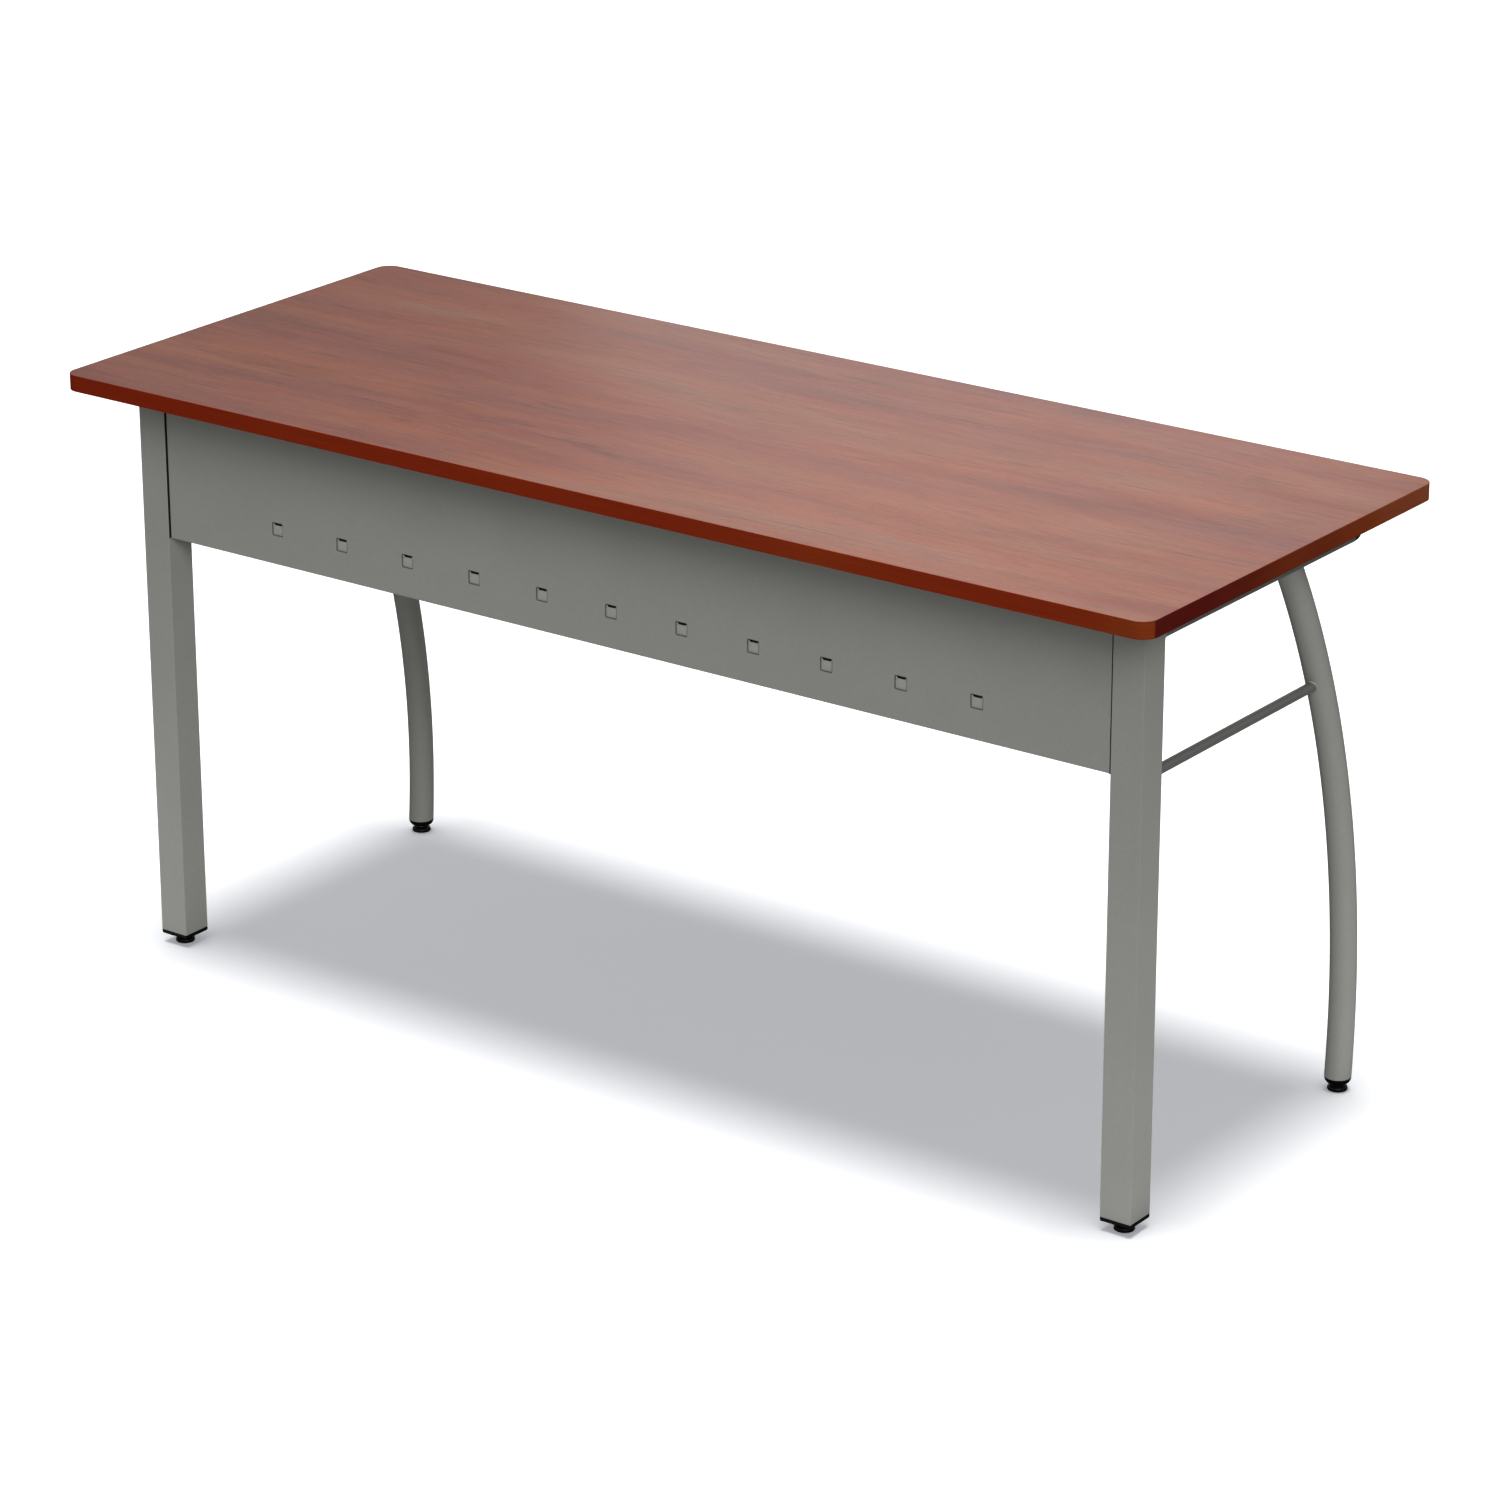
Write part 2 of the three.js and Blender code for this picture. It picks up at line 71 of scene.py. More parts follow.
top_low, top_high = box_mm("worktop_edge_band")
TOP_LENGTH = top_high[0] - top_low[0]
TOP_DEPTH = top_high[1] - top_low[1]
TOP_HEIGHT = top_high[2]
UNDERSIDE = top_low[2]
TOP_CORNER = 20.0
BAND = 0.8
ARRIS = 0.5
LAMINATE = 0.8
CORNER_STEPS = 20

leg_low, leg_high = box_mm("front_leg_right")
TUBE = leg_high[0] - leg_low[0]
TUBE_BOTTOM = leg_low[2]
TUBE_WALL = 1.5
TUBE_CORNER = 0.55
BORE_CORNER = 0.3
CUT_EDGE = 0.35
FRAME_X = (leg_low[0] + leg_high[0]) / 2
LEG_Y = (leg_low[1] + leg_high[1]) / 2
LEG_BACK = leg_high[1]

rail_low, rail_high = box_mm("side_rail_right")
RAIL_FRONT = rail_low[1]
RAIL_END = rail_high[1]
RAIL_BOTTOM = rail_low[2]
RAIL_Z = (rail_low[2] + rail_high[2]) / 2
RAIL_HEIGHT = rail_high[2] - rail_low[2]
RAIL_NOSE = box_mm("rail_end_cap_right")[1][1] - RAIL_END
NOSE_RADIUS = 16.0
ACCESS_HOLE = 7.0
SCREW_Y = [centre_of(f"rail_screw_right_{i}")[1] for i in (1, 2, 3)]

rod_low, rod_high = box_mm("side_rod_right")
ROD_RADIUS = (rod_high[0] - rod_low[0]) / 2
ROD_Z = (rod_low[2] + rod_high[2]) / 2
ROD_INTO_LEG = 4.0

BOW_RADIUS = 1140.0
BOW_CENTRE_Z = 106.0
bow_low, bow_high = box_mm("rear_leg_right")
REAR_RADIUS = (bow_high[0] - bow_low[0]) / 2
BOW_BOTTOM = bow_low[2]
BOW_CENTRE_Y = bow_high[1] - BOW_RADIUS - REAR_RADIUS
REAR_FOOT_Y = centre_of("glide_pad_rear_right")[1]

panel_low, panel_high = box_mm("modesty_panel")
PANEL_GAP = 1.5
PANEL_HALF = panel_high[0] - PANEL_GAP
PANEL_FRONT = panel_low[1]
PANEL_BOTTOM = panel_low[2]
SHEET = 1.2
BEND = 2.5
SIDE_BEND = 1.3
TOP_FLANGE = 28.0
SIDE_FLANGE = panel_high[1] - panel_low[1]
BOTTOM_LIP = 12.0
SQUARES = 11
SQUARE_PITCH = 100.2
SQUARE_Z = 583.0
SQUARE_HALF = 7.5
RECESS = 1.9
SLIT_HEIGHT = 3.1
SLIT_DEPTH = 4.5
CELL_HALF = 12.0
CELL_STEPS = 12
PLAIN_ROWS = (625.0, 680.0)
WALL_REACH = 8.7
FLOOR_REACH = 6.8

THREAD_PITCH = 1.25
STUD_RADIUS = 4.0
THREAD_DEPTH = 0.66
CAP_LOW = box_mm("front_leg_cap_right")[0][2]
BOSS = 9.5
BORE = 4.4

BEND_STEPS = 6
CREASE = 32.0


# ------------------------------------------------------------------ materials


class Finish:
    """Builds one node material. Patterns use the piece's own coordinates at rest, in metres."""

    def __init__(self, name, roughness, metallic=0.0, specular=0.5):
        self.material = bpy.data.materials.new(name)
        self.material.use_nodes = True
        self.nodes = self.material.node_tree.nodes
        self.links = self.material.node_tree.links
        self.shader = self.nodes["Principled BSDF"]
        self.shader.inputs["Roughness"].default_value = roughness
        self.shader.inputs["Metallic"].default_value = metallic
        self.shader.inputs["Specular IOR Level"].default_value = specular
        self.place = self.node("ShaderNodeTexCoord").outputs["Object"]

    def node(self, kind, **settings):
        made = self.nodes.new(kind)
        for key, value in settings.items():
            setattr(made, key, value)
        return made

    def put(self, socket, value):
        if isinstance(value, bpy.types.NodeSocket):
            self.links.new(value, socket)
        else:
            socket.default_value = value

    def stretched(self, scale, shift=None):
        """The piece's coordinates times scale, moved by shift, a vector output or None."""
        where = self.place
        if shift is not None:
            moved = self.node("ShaderNodeVectorMath", operation="ADD")
            self.put(moved.inputs[0], where)
            self.put(moved.inputs[1], shift)
            where = moved.outputs[0]
        mapping = self.node("ShaderNodeMapping")
        self.put(mapping.inputs["Vector"], where)
        mapping.inputs["Scale"].default_value = scale
        return mapping.outputs["Vector"]

    def noise(self, vector, scale=1.0, detail=3.0, roughness=0.5, output="Fac"):
        made = self.node("ShaderNodeTexNoise")
        self.put(made.inputs["Vector"], vector)
        made.inputs["Scale"].default_value = scale
        made.inputs["Detail"].default_value = detail
        made.inputs["Roughness"].default_value = roughness
        return made.outputs[output]

    def scaled(self, vector, amount):
        made = self.node("ShaderNodeVectorMath", operation="MULTIPLY")
        self.put(made.inputs[0], vector)
        made.inputs[1].default_value = amount
        return made.outputs[0]

    def ramp(self, factor, *stops):
        """Colours or greys by position: each stop is (position, grey) or (position, (r, g, b))."""
        made = self.node("ShaderNodeValToRGB")
        self.put(made.inputs["Fac"], factor)
        elements = made.color_ramp.elements
        while len(elements) < len(stops):
            elements.new(0.5)
        for element, (position, value) in zip(elements, stops):
            colour = value if isinstance(value, tuple) else (value, value, value)
            element.position = position
            element.color = (*colour, 1.0)
        return made.outputs["Color"]

    def mix(self, factor, first, second, blend="MIX"):
        made = self.node("ShaderNodeMix", data_type="RGBA", blend_type=blend)
        self.put(made.inputs[0], factor)
        for socket, value in ((made.inputs[6], first), (made.inputs[7], second)):
            self.put(socket, (*value, 1.0) if isinstance(value, tuple) else value)
        return made.outputs[2]

    def maths(self, operation, first, second):
        made = self.node("ShaderNodeMath", operation=operation)
        self.put(made.inputs[0], first)
        self.put(made.inputs[1], second)
        return made.outputs[0]

    def axes(self):
        """The place's X, Y and Z."""
        parts = self.node("ShaderNodeSeparateXYZ")
        self.put(parts.inputs[0], self.place)
        return parts.outputs

    def inside(self, low, high):
        """1 where the place's (|x|, y, z) in mm is between low and high, else 0."""
        x, y, z = self.axes()
        across = self.maths("ABSOLUTE", x, 0.0)
        found = None
        for value, least, most in zip((across, y, z), low, high):
            above = self.maths("GREATER_THAN", value, least * MM)
            below = self.maths("LESS_THAN", value, most * MM)
            both = self.maths("MULTIPLY", above, below)
            found = both if found is None else self.maths("MULTIPLY", found, both)
        return found

    def between(self, factor, low, high, start=0.0, stop=1.0):
        """low to high while the factor goes from start to stop."""
        made = self.node("ShaderNodeMapRange")
        self.put(made.inputs["Value"], factor)
        made.inputs["From Min"].default_value = start
        made.inputs["From Max"].default_value = stop
        made.inputs["To Min"].default_value = low
        made.inputs["To Max"].default_value = high
        return made.outputs["Result"]

    def colour(self, value):
        self.put(self.shader.inputs["Base Color"], value)

    def roughness(self, value):
        self.put(self.shader.inputs["Roughness"], value)

    def bump(self, height, strength, distance_mm, under=None):
        made = self.node("ShaderNodeBump")
        self.put(made.inputs["Height"], height)
        made.inputs["Strength"].default_value = strength
        made.inputs["Distance"].default_value = distance_mm * MM
        if under is not None:
            self.put(made.inputs["Normal"], under)
        self.put(self.shader.inputs["Normal"], made.outputs["Normal"])
        return made.outputs["Normal"]


def cherry_laminate():
    """Printed cherry grain along X: drifting hue, wide soft streaks, clustered dark lines, pores."""
    f = Finish("cherry_laminate", 0.42, specular=0.16)
    drift = f.noise(f.stretched((2.0, 3.6, 1.0)), 1.0, 2.0, output="Color")
    waved = f.scaled(drift, (0.0, 0.045, 0.0))
    hue = f.noise(f.stretched((1.6, 13.0, 1.0), waved), 1.0, 3.0, 0.6)
    broad = f.noise(f.stretched((2.6, 30.0, 1.0), waved), 1.0, 4.0, 0.65)
    streak = f.noise(f.stretched((7.0, 85.0, 1.0), waved), 1.0, 5.0, 0.7)
    narrow = f.noise(f.stretched((14.0, 320.0, 1.0), waved), 1.0, 3.0, 0.6)
    pores = f.noise(f.stretched((36.0, 1050.0, 1.0), waved), 1.0, 2.0, 0.5)
    base = f.ramp(
        hue,
        (0.34, (0.240, 0.089, 0.071)),
        (0.46, (0.268, 0.097, 0.069)),
        (0.58, (0.294, 0.110, 0.071)),
        (0.70, (0.292, 0.124, 0.085)),
    )
    shaded = f.mix(0.8, base, f.ramp(broad, (0.32, 0.78), (0.54, 1.0)), "MULTIPLY")
    clustered = f.maths("ADD", f.between(streak, 0.0, 0.72), f.between(narrow, 0.0, 0.28))
    greyed = f.ramp(clustered, (0.34, (0.52, 0.64, 0.74)), (0.44, (1.0, 1.0, 1.0)))
    streaked = f.mix(0.75, shaded, greyed, "MULTIPLY")
    lined = f.mix(0.45, streaked, f.ramp(narrow, (0.32, 0.70), (0.58, 1.0)), "MULTIPLY")
    patch = f.noise(f.stretched((5.0, 24.0, 1.0), waved), 1.0, 3.0, 0.6)
    tint = f.ramp(patch, (0.40, (1.0, 0.93, 0.88)), (0.50, (1.0, 1.0, 1.0)), (0.60, (0.93, 0.99, 1.0)))
    tinted = f.mix(0.9, lined, tint, "MULTIPLY")
    fine = f.noise(f.stretched((110.0, 420.0, 1.0)), 1.0, 2.0)
    grained = f.mix(0.55, tinted, f.ramp(fine, (0.36, 0.82), (0.60, 1.0)), "MULTIPLY")
    f.colour(f.mix(0.30, grained, f.ramp(pores, (0.30, 0.45), (0.44, 1.0)), "MULTIPLY"))
    f.roughness(f.between(streak, 0.36, 0.50))
    f.bump(f.maths("ADD", narrow, pores), 0.12, 0.15)
    return f.material


def edge_band():
    """Wood-print edge plastic: cherry red long edges drifting to orange, maroon to brown short ones.

    The short edges' darker maroon is painted shade, and their brown towards the back a painted sheen.
    """
    f = Finish("edge_plastic", 0.45, specular=0.04)
    cloud = f.noise(f.stretched((1.7, 2.9, 2.0)), 1.0, 2.0)
    lines = f.noise(f.stretched((7.0, 7.0, 520.0)), 1.0, 3.0)
    fleck = f.noise(f.stretched((60.0, 60.0, 900.0)), 1.0, 2.0)
    x, y, _ = f.axes()
    long_edge = f.ramp(
        f.maths("ADD", cloud, f.maths("MULTIPLY", x, 0.20)),
        (0.36, (0.212, 0.018, 0.004)),
        (0.50, (0.218, 0.024, 0.005)),
        (0.64, (0.226, 0.062, 0.012)),
    )
    # Painted shade on the short edges, darker than the long ones, with a painted sheen lightening them
    # towards the back.
    short_edge_shade_and_sheen = f.ramp(
        f.maths("ADD", cloud, y),
        (0.20, (0.098, 0.007, 0.004)),
        (0.50, (0.190, 0.034, 0.009)),
        (0.80, (0.270, 0.090, 0.040)),
    )
    across = f.maths("ABSOLUTE", x, 0.0)
    half = TOP_LENGTH / 2
    at_end = f.between(across, 0.0, 1.0, (half - 1.1) * MM, (half - 0.5) * MM)
    base = f.mix(at_end, long_edge, short_edge_shade_and_sheen)
    lined = f.mix(0.35, base, f.ramp(lines, (0.3, 0.55), (0.65, 1.0)), "MULTIPLY")
    f.colour(f.mix(0.20, lined, f.ramp(fleck, (0.3, 0.6), (0.6, 1.0)), "MULTIPLY"))
    f.roughness(f.between(lines, 0.38, 0.52))
    f.bump(lines, 0.08, 0.1)
    return f.material


def frame_coat(name="frame_coat", shade=1.0, painted_light_and_shade=()):
    """Silver-grey powder coat: fine orange peel, metal flakes, faint clouds.

    shade scales the whole colour; below 1 it is painted shade. The boxes given last, as (low, high,
    share of the colour), are painted shade and painted light, the colour scaled by the share inside.
    """
    f = Finish(name, 0.5, metallic=0.15, specular=0.35)
    cloud = f.noise(f.place, 9.0, 3.0)
    mottle = f.noise(f.place, 260.0, 2.0)
    flake = f.noise(f.place, 2600.0, 1.0)
    dark = tuple(shade * c for c in (0.345, 0.350, 0.322))
    light = tuple(shade * c for c in (0.362, 0.367, 0.338))
    base = f.ramp(cloud, (0.3, dark), (0.7, light))
    mottled = f.mix(1.0, base, f.ramp(mottle, (0.3, 0.95), (0.7, 1.0)), "MULTIPLY")
    flaked = f.mix(0.30, mottled, f.ramp(flake, (0.35, 0.70), (0.72, 1.0)), "MULTIPLY")
    # Each box scales the colour: painted shade where the share is below 1, painted light above 1.
    for low, high, share in painted_light_and_shade:
        flaked = f.mix(f.inside(low, high), flaked, f.scaled(flaked, (share, share, share)))
    f.colour(flaked)
    f.roughness(f.between(mottle, 0.44, 0.56))
    peel = f.bump(f.noise(f.place, 620.0, 2.0), 0.10, 0.25)
    f.bump(flake, 0.06, 0.08, peel)
    return f.material


def black_plastic():
    f = Finish("black_plastic", 0.3, specular=0.10)
    cloud = f.noise(f.place, 180.0, 3.0)
    f.colour(f.ramp(cloud, (0.3, (0.0025, 0.0025, 0.0025)), (0.7, (0.005, 0.005, 0.005))))
    f.roughness(f.between(cloud, 0.22, 0.36))
    f.bump(f.noise(f.place, 1500.0, 2.0), 0.12, 0.06)
    return f.material


def zinc_steel():
    f = Finish("zinc_steel", 0.32, metallic=1.0)
    cloud = f.noise(f.place, 420.0, 3.0)
    f.colour(f.ramp(cloud, (0.3, (0.52, 0.53, 0.54)), (0.7, (0.68, 0.67, 0.63))))
    f.roughness(f.between(cloud, 0.24, 0.42))
    f.bump(f.noise(f.place, 1800.0, 2.0), 0.08, 0.05)
    return f.material


def backing_sheet():
    f = Finish("backing_sheet", 0.68)
    fibre = f.noise(f.place, 900.0, 3.0)
    cloud = f.noise(f.stretched((3.0, 9.0, 1.0)), 1.0, 2.0)
    base = f.ramp(cloud, (0.3, (0.125, 0.088, 0.062)), (0.7, (0.150, 0.108, 0.078)))
    f.colour(f.mix(0.5, base, f.ramp(fibre, (0.35, 0.72), (0.65, 1.0)), "MULTIPLY"))
    f.bump(fibre, 0.2, 0.08)
    return f.material


def core_board():
    f = Finish("core_board", 0.85)
    chips = f.node("ShaderNodeTexVoronoi")
    f.put(chips.inputs["Vector"], f.stretched((500.0, 700.0, 900.0)))
    f.colour(
        f.ramp(chips.outputs["Distance"], (0.1, (0.42, 0.28, 0.15)), (0.8, (0.24, 0.15, 0.08)))
    )
    f.bump(chips.outputs["Distance"], 0.5, 0.3)
    return f.material


# Boxes of painted shade and painted light in the coat, as (low, high, share). The walls of the pressed
# squares have two ranges of depth, because the sheet's flat back, at depth SHEET, stays out of both.
# Painted shade on the walls of the pressed squares, darkened to 0.34.
PRESSED_WALLS_PAINTED_SHADE = [
    (
        (0.0, PANEL_FRONT + near, SQUARE_Z - WALL_REACH),
        (TOP_LENGTH, PANEL_FRONT + far, SQUARE_Z + WALL_REACH),
        0.34,
    )
    for near, far in ((0.03, SHEET - 0.05), (SHEET + 0.05, RECESS - 0.2))
]
# Painted light on the floors of the pressed squares, lightened to 1.2.
PRESSED_FLOOR_PAINTED_LIGHT = (
    (0.0, PANEL_FRONT + RECESS - 0.12, SQUARE_Z - FLOOR_REACH),
    (TOP_LENGTH, PANEL_FRONT + RECESS + 0.04, SQUARE_Z + FLOOR_REACH),
    1.2,
)
# Painted shadow inside the slits at the squares' tops, nearly black.
SLIT_PAINTED_SHADOW = (
    (0.0, PANEL_FRONT + RECESS + 0.1, SQUARE_Z + SQUARE_HALF - 0.1 - SLIT_HEIGHT),
    (TOP_LENGTH, PANEL_FRONT + SLIT_DEPTH + 0.1, SQUARE_Z + SQUARE_HALF + 0.08),
    0.06,
)
# Painted shade on the legs' inner faces, in the seam beside the panel.
LEG_SEAM_PAINTED_SHADE = (
    (0.0, PANEL_FRONT - 1.2, PANEL_BOTTOM),
    (panel_high[0] + 0.7, panel_high[1], UNDERSIDE),
    0.04,
)
# Painted shade along the panel's ends, in the seam beside the legs.
PANEL_SEAM_PAINTED_SHADE = (
    (PANEL_HALF - 1.1, PANEL_FRONT + 0.05, PANEL_BOTTOM),
    (PANEL_HALF + 1.0, panel_high[1], UNDERSIDE),
    0.10,
)
# Painted shade on the rails' outer faces, under the worktop's overhang, at half the colour.
RAIL_OUTSIDE_PAINTED_SHADE = (
    (rail_high[0] - 0.3, RAIL_FRONT, RAIL_BOTTOM + 0.3),
    (TOP_LENGTH, RAIL_END, UNDERSIDE),
    0.5,
)
# All the panel's painted shade and painted light.
PANEL_PAINTED_LIGHT_AND_SHADE = (*PRESSED_WALLS_PAINTED_SHADE, PRESSED_FLOOR_PAINTED_LIGHT, SLIT_PAINTED_SHADOW, PANEL_SEAM_PAINTED_SHADE)

FINISHES = {
    "cherry_laminate": cherry_laminate(),
    "edge_plastic": edge_band(),
    "backing_sheet": backing_sheet(),
    "core_board": core_board(),
    "frame_coat": frame_coat(),
    # The panel's coat: the frame coat darkened to 0.97 as painted shade, with the panel's boxes of
    # painted shade and light.
    "panel_coat_painted_light_and_shade": frame_coat("panel_coat_painted_light_and_shade", 0.97, PANEL_PAINTED_LIGHT_AND_SHADE),
    # The legs' coat, with painted shade in the seam beside the panel.
    "leg_coat_painted_shade": frame_coat("leg_coat_painted_shade", 1.0, (LEG_SEAM_PAINTED_SHADE,)),
    # The rails' coat, with painted shade on their outer faces.
    "rail_coat_painted_shade": frame_coat("rail_coat_painted_shade", 1.0, (RAIL_OUTSIDE_PAINTED_SHADE,)),
    # The rods' coat: the frame coat's whole colour darkened to 0.42 as painted shade.
    "rod_coat_painted_shade": frame_coat("rod_coat_painted_shade", 0.42),
    "black_plastic": black_plastic(),
    "zinc_steel": zinc_steel(),
}

for part in frame["record"]["subparts"]:
    slots = frame["nodes"][part["node"]].data.materials
    slots.clear()
    slots.append(FINISHES[part["material_slot"]])


# ------------------------------------------------------------------ shape helpers


def rounded_rect(width, depth, radius, steps, centre=(0.0, 0.0)):
    """A rounded rectangle, anticlockwise, with steps + 1 points round each corner."""
    points = []
    for quarter, (sx, sy) in enumerate(((1, 1), (-1, 1), (-1, -1), (1, -1))):
        for i in range(steps + 1):
            angle = math.pi / 2 * (quarter + i / steps)
            x = centre[0] + sx * (width / 2 - radius) + radius * math.cos(angle)
            y = centre[1] + sy * (depth / 2 - radius) + radius * math.sin(angle)
            points.append((x, y))
    return points


def circle(radius, count):
    turn = 2 * math.pi / count
    return [(radius * math.cos(i * turn), radius * math.sin(i * turn)) for i in range(count)]


def circle_like(ring, radius):
    """A circle with one point in the direction of each of the ring's points."""
    return [(radius * x / math.hypot(x, y), radius * y / math.hypot(x, y)) for x, y in ring]


def at_height(ring, z, centre=(0.0, 0.0)):
    return [(x + centre[0], y + centre[1], z) for x, y in ring]


def along_y(ring, ys, centre):
    """The same ring, facing Y, at each y. centre is its (x, z)."""
    return [[(centre[0] + u, y, centre[1] + v) for u, v in ring] for y in ys]


def loft(rings, wrap=False, caps=True):
    """Skins equal rings of points. wrap joins the last ring to the first."""
    count = len(rings[0])
    points = [p for ring in rings for p in ring]
    faces = []
    for i in range(len(rings) if wrap else len(rings) - 1):
        j = (i + 1) % len(rings)
        for k in range(count):
            n = (k + 1) % count
            faces.append((i * count + k, i * count + n, j * count + n, j * count + k))
    if caps and not wrap:
        faces.append(tuple(range(count))[::-1])
        faces.append(tuple((len(rings) - 1) * count + k for k in range(count)))
    return points, faces


def bend(radius):
    """(depth, reach) pairs round a quarter bend."""
    pairs = []
    for i in range(BEND_STEPS + 1):
        angle = math.pi / 2 * i / BEND_STEPS
        pairs.append((radius * (1 - math.cos(angle)), radius * math.sin(angle)))
    return pairs


def turned(profile, count, centre=(0.0, 0.0)):
    """A solid of revolution about Z, from (radius, z) pairs. The first and last are capped."""
    return loft([at_height(circle(r, count), z, centre) for r, z in profile])


def moved(shape, matrix):
    points, faces = shape
    return [tuple(matrix @ Vector(p)) for p in points], faces


def filled(shapes):
    """A mesh builder with the shapes' points, in metres, and their faces."""
    builder = bmesh.new()
    for points, faces in shapes:
        made = [builder.verts.new([c * MM for c in p]) for p in points]
        for face in faces:
            builder.faces.new([made[i] for i in face])
    return builder


def mesh_of(name, builder):
    """The builder's mesh. The builder is used up."""
    mesh = bpy.data.meshes.new(name)
    builder.to_mesh(mesh)
    builder.free()
    return mesh


def solid_mesh(name, shapes):
    """A mesh of closed shapes, with its faces turned outwards."""
    builder = filled(shapes)
    bmesh.ops.recalc_face_normals(builder, faces=builder.faces)
    return mesh_of(name, builder)


def smoothed(mesh, crease):
    mesh.shade_smooth()
    mesh.set_sharp_from_angle(angle=math.radians(crease))


def keep_flat(made):
    weighted = made.modifiers.new("flat faces stay flat", "WEIGHTED_NORMAL")
    weighted.keep_sharp = True


def piece(name, shapes, slot, body="desk", instead_of=(), crease=CREASE, flat_faces=True, finish=None):
    """Makes one object from closed shapes, rides it on its body and hides the CAD node it shows."""
    mesh = solid_mesh(name, shapes)
    return show(name, mesh, slot, body, instead_of, crease, flat_faces, finish)


def show(name, mesh, slot, body, instead_of, crease, flat_faces, finish=None):
    smoothed(mesh, crease)
    mesh.materials.clear()
    mesh.materials.append(FINISHES[finish or slot])
    made = bpy.data.objects.new(name, mesh)
    bpy.context.scene.collection.objects.link(made)
    if flat_faces:
        keep_flat(made)
    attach(made, body)
    if instead_of:
        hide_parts(*instead_of)
    return made


def drilled(made, cutters):
    """Cuts the cutter shapes out of a piece with flat faces, for good."""
    tool = bpy.data.objects.new("cutter", solid_mesh("cutter", cutters))
    bpy.context.scene.collection.objects.link(tool)
    cut = made.modifiers.new("cut", "BOOLEAN")
    cut.operation = "DIFFERENCE"
    cut.solver = "EXACT"
    cut.object = tool
    made.modifiers.move(len(made.modifiers) - 1, 0)
    weighted = made.modifiers["flat faces stay flat"]
    weighted.show_viewport = False
    bpy.context.view_layer.update()
    depsgraph = bpy.context.evaluated_depsgraph_get()
    solved = bpy.data.meshes.new_from_object(made.evaluated_get(depsgraph))
    made.modifiers.remove(cut)
    weighted.show_viewport = True
    smoothed(solved, CREASE)
    made.data = solved
    bpy.data.objects.remove(tool)


def bead(path, radius, closed=True, seed=0.0):
    """A weld bead along a path: a low rippled tube, a little uneven in size."""
    ripple_pitch = 1.7
    sides = 10
    count = len(path)
    points = [Vector(p) for p in path]
    rings = []
    travelled = 0.0
    for i, here in enumerate(points):
        ahead = points[(i + 1) % count] if closed or i + 1 < count else here
        behind = points[i - 1] if closed or i else here
        along = (ahead - behind).normalized()
        side = along.cross(Vector((0.31, 0.52, 0.79))).normalized()
        up = along.cross(side)
        uneven = noise.noise(here * 0.25 + Vector((seed, 0.0, 0.0)))
        size = radius * (1.0 + 0.16 * uneven + 0.09 * math.sin(travelled * 2 * math.pi / ripple_pitch))
        ring = []
        for k in range(sides):
            angle = 2 * math.pi * k / sides
            ring.append(tuple(here + size * (math.cos(angle) * side + math.sin(angle) * up)))
        rings.append(ring)
        travelled += (ahead - here).length
    return loft(rings, wrap=closed)


# ------------------------------------------------------------------ worktop


def outline(inset):
    return rounded_rect(
        TOP_LENGTH - 2 * inset, TOP_DEPTH - 2 * inset, TOP_CORNER - inset, CORNER_STEPS
    )


def arris(top):
    """(inset, z) pairs round one long edge of the band, from the flat face to the side."""
    z = TOP_HEIGHT if top else UNDERSIDE
    inward = -1 if top else 1
    return [(ARRIS - reach, z + inward * depth) for depth, reach in bend(ARRIS)]


section = [(BAND, TOP_HEIGHT), *arris(True), *arris(False)[::-1], (BAND, UNDERSIDE)]
piece(
    "edge_band",
    [loft([at_height(outline(inset), z) for inset, z in section], wrap=True)],
    "edge_plastic",
    instead_of=("worktop_edge_band",),
)
piece(
    "laminate_sheet",
    [loft([at_height(outline(BAND), z) for z in (TOP_HEIGHT - LAMINATE, TOP_HEIGHT)])],
    "cherry_laminate",
    instead_of=("worktop_laminate",),
)


# ------------------------------------------------------------------ side frames


def box_tube(second, low, high, along="z", centre=(0.0, 0.0)):
    """A hollow tube, TUBE by second, with its cut ends just broken, along Z or along Y."""
    rings = []
    for less, radius, height in (
        (2 * CUT_EDGE, TUBE_CORNER - CUT_EDGE, low),
        (0.0, TUBE_CORNER, low + CUT_EDGE),
        (0.0, TUBE_CORNER, high - CUT_EDGE),
        (2 * CUT_EDGE, TUBE_CORNER - CUT_EDGE, high),
        (2 * TUBE_WALL, BORE_CORNER, high),
        (2 * TUBE_WALL, BORE_CORNER, low),
    ):
        flat = rounded_rect(TUBE - less, second - less, radius, 6)
        if along == "z":
            rings.append(at_height(flat, height, centre))
        else:
            rings.append([(x + centre[0], height, y + centre[1]) for x, y in flat])
    return loft(rings, wrap=True)


def bow_point(offset, x, fraction, low, high):
    """A point on the bowed leg's wall: offset is outwards from the bend's middle line."""
    radius = BOW_RADIUS + offset
    start = math.asin((low - BOW_CENTRE_Z) / radius)
    end = math.asin((high - BOW_CENTRE_Z) / radius)
    angle = start + (end - start) * fraction
    return (x, BOW_CENTRE_Y + radius * math.cos(angle), BOW_CENTRE_Z + radius * math.sin(angle))


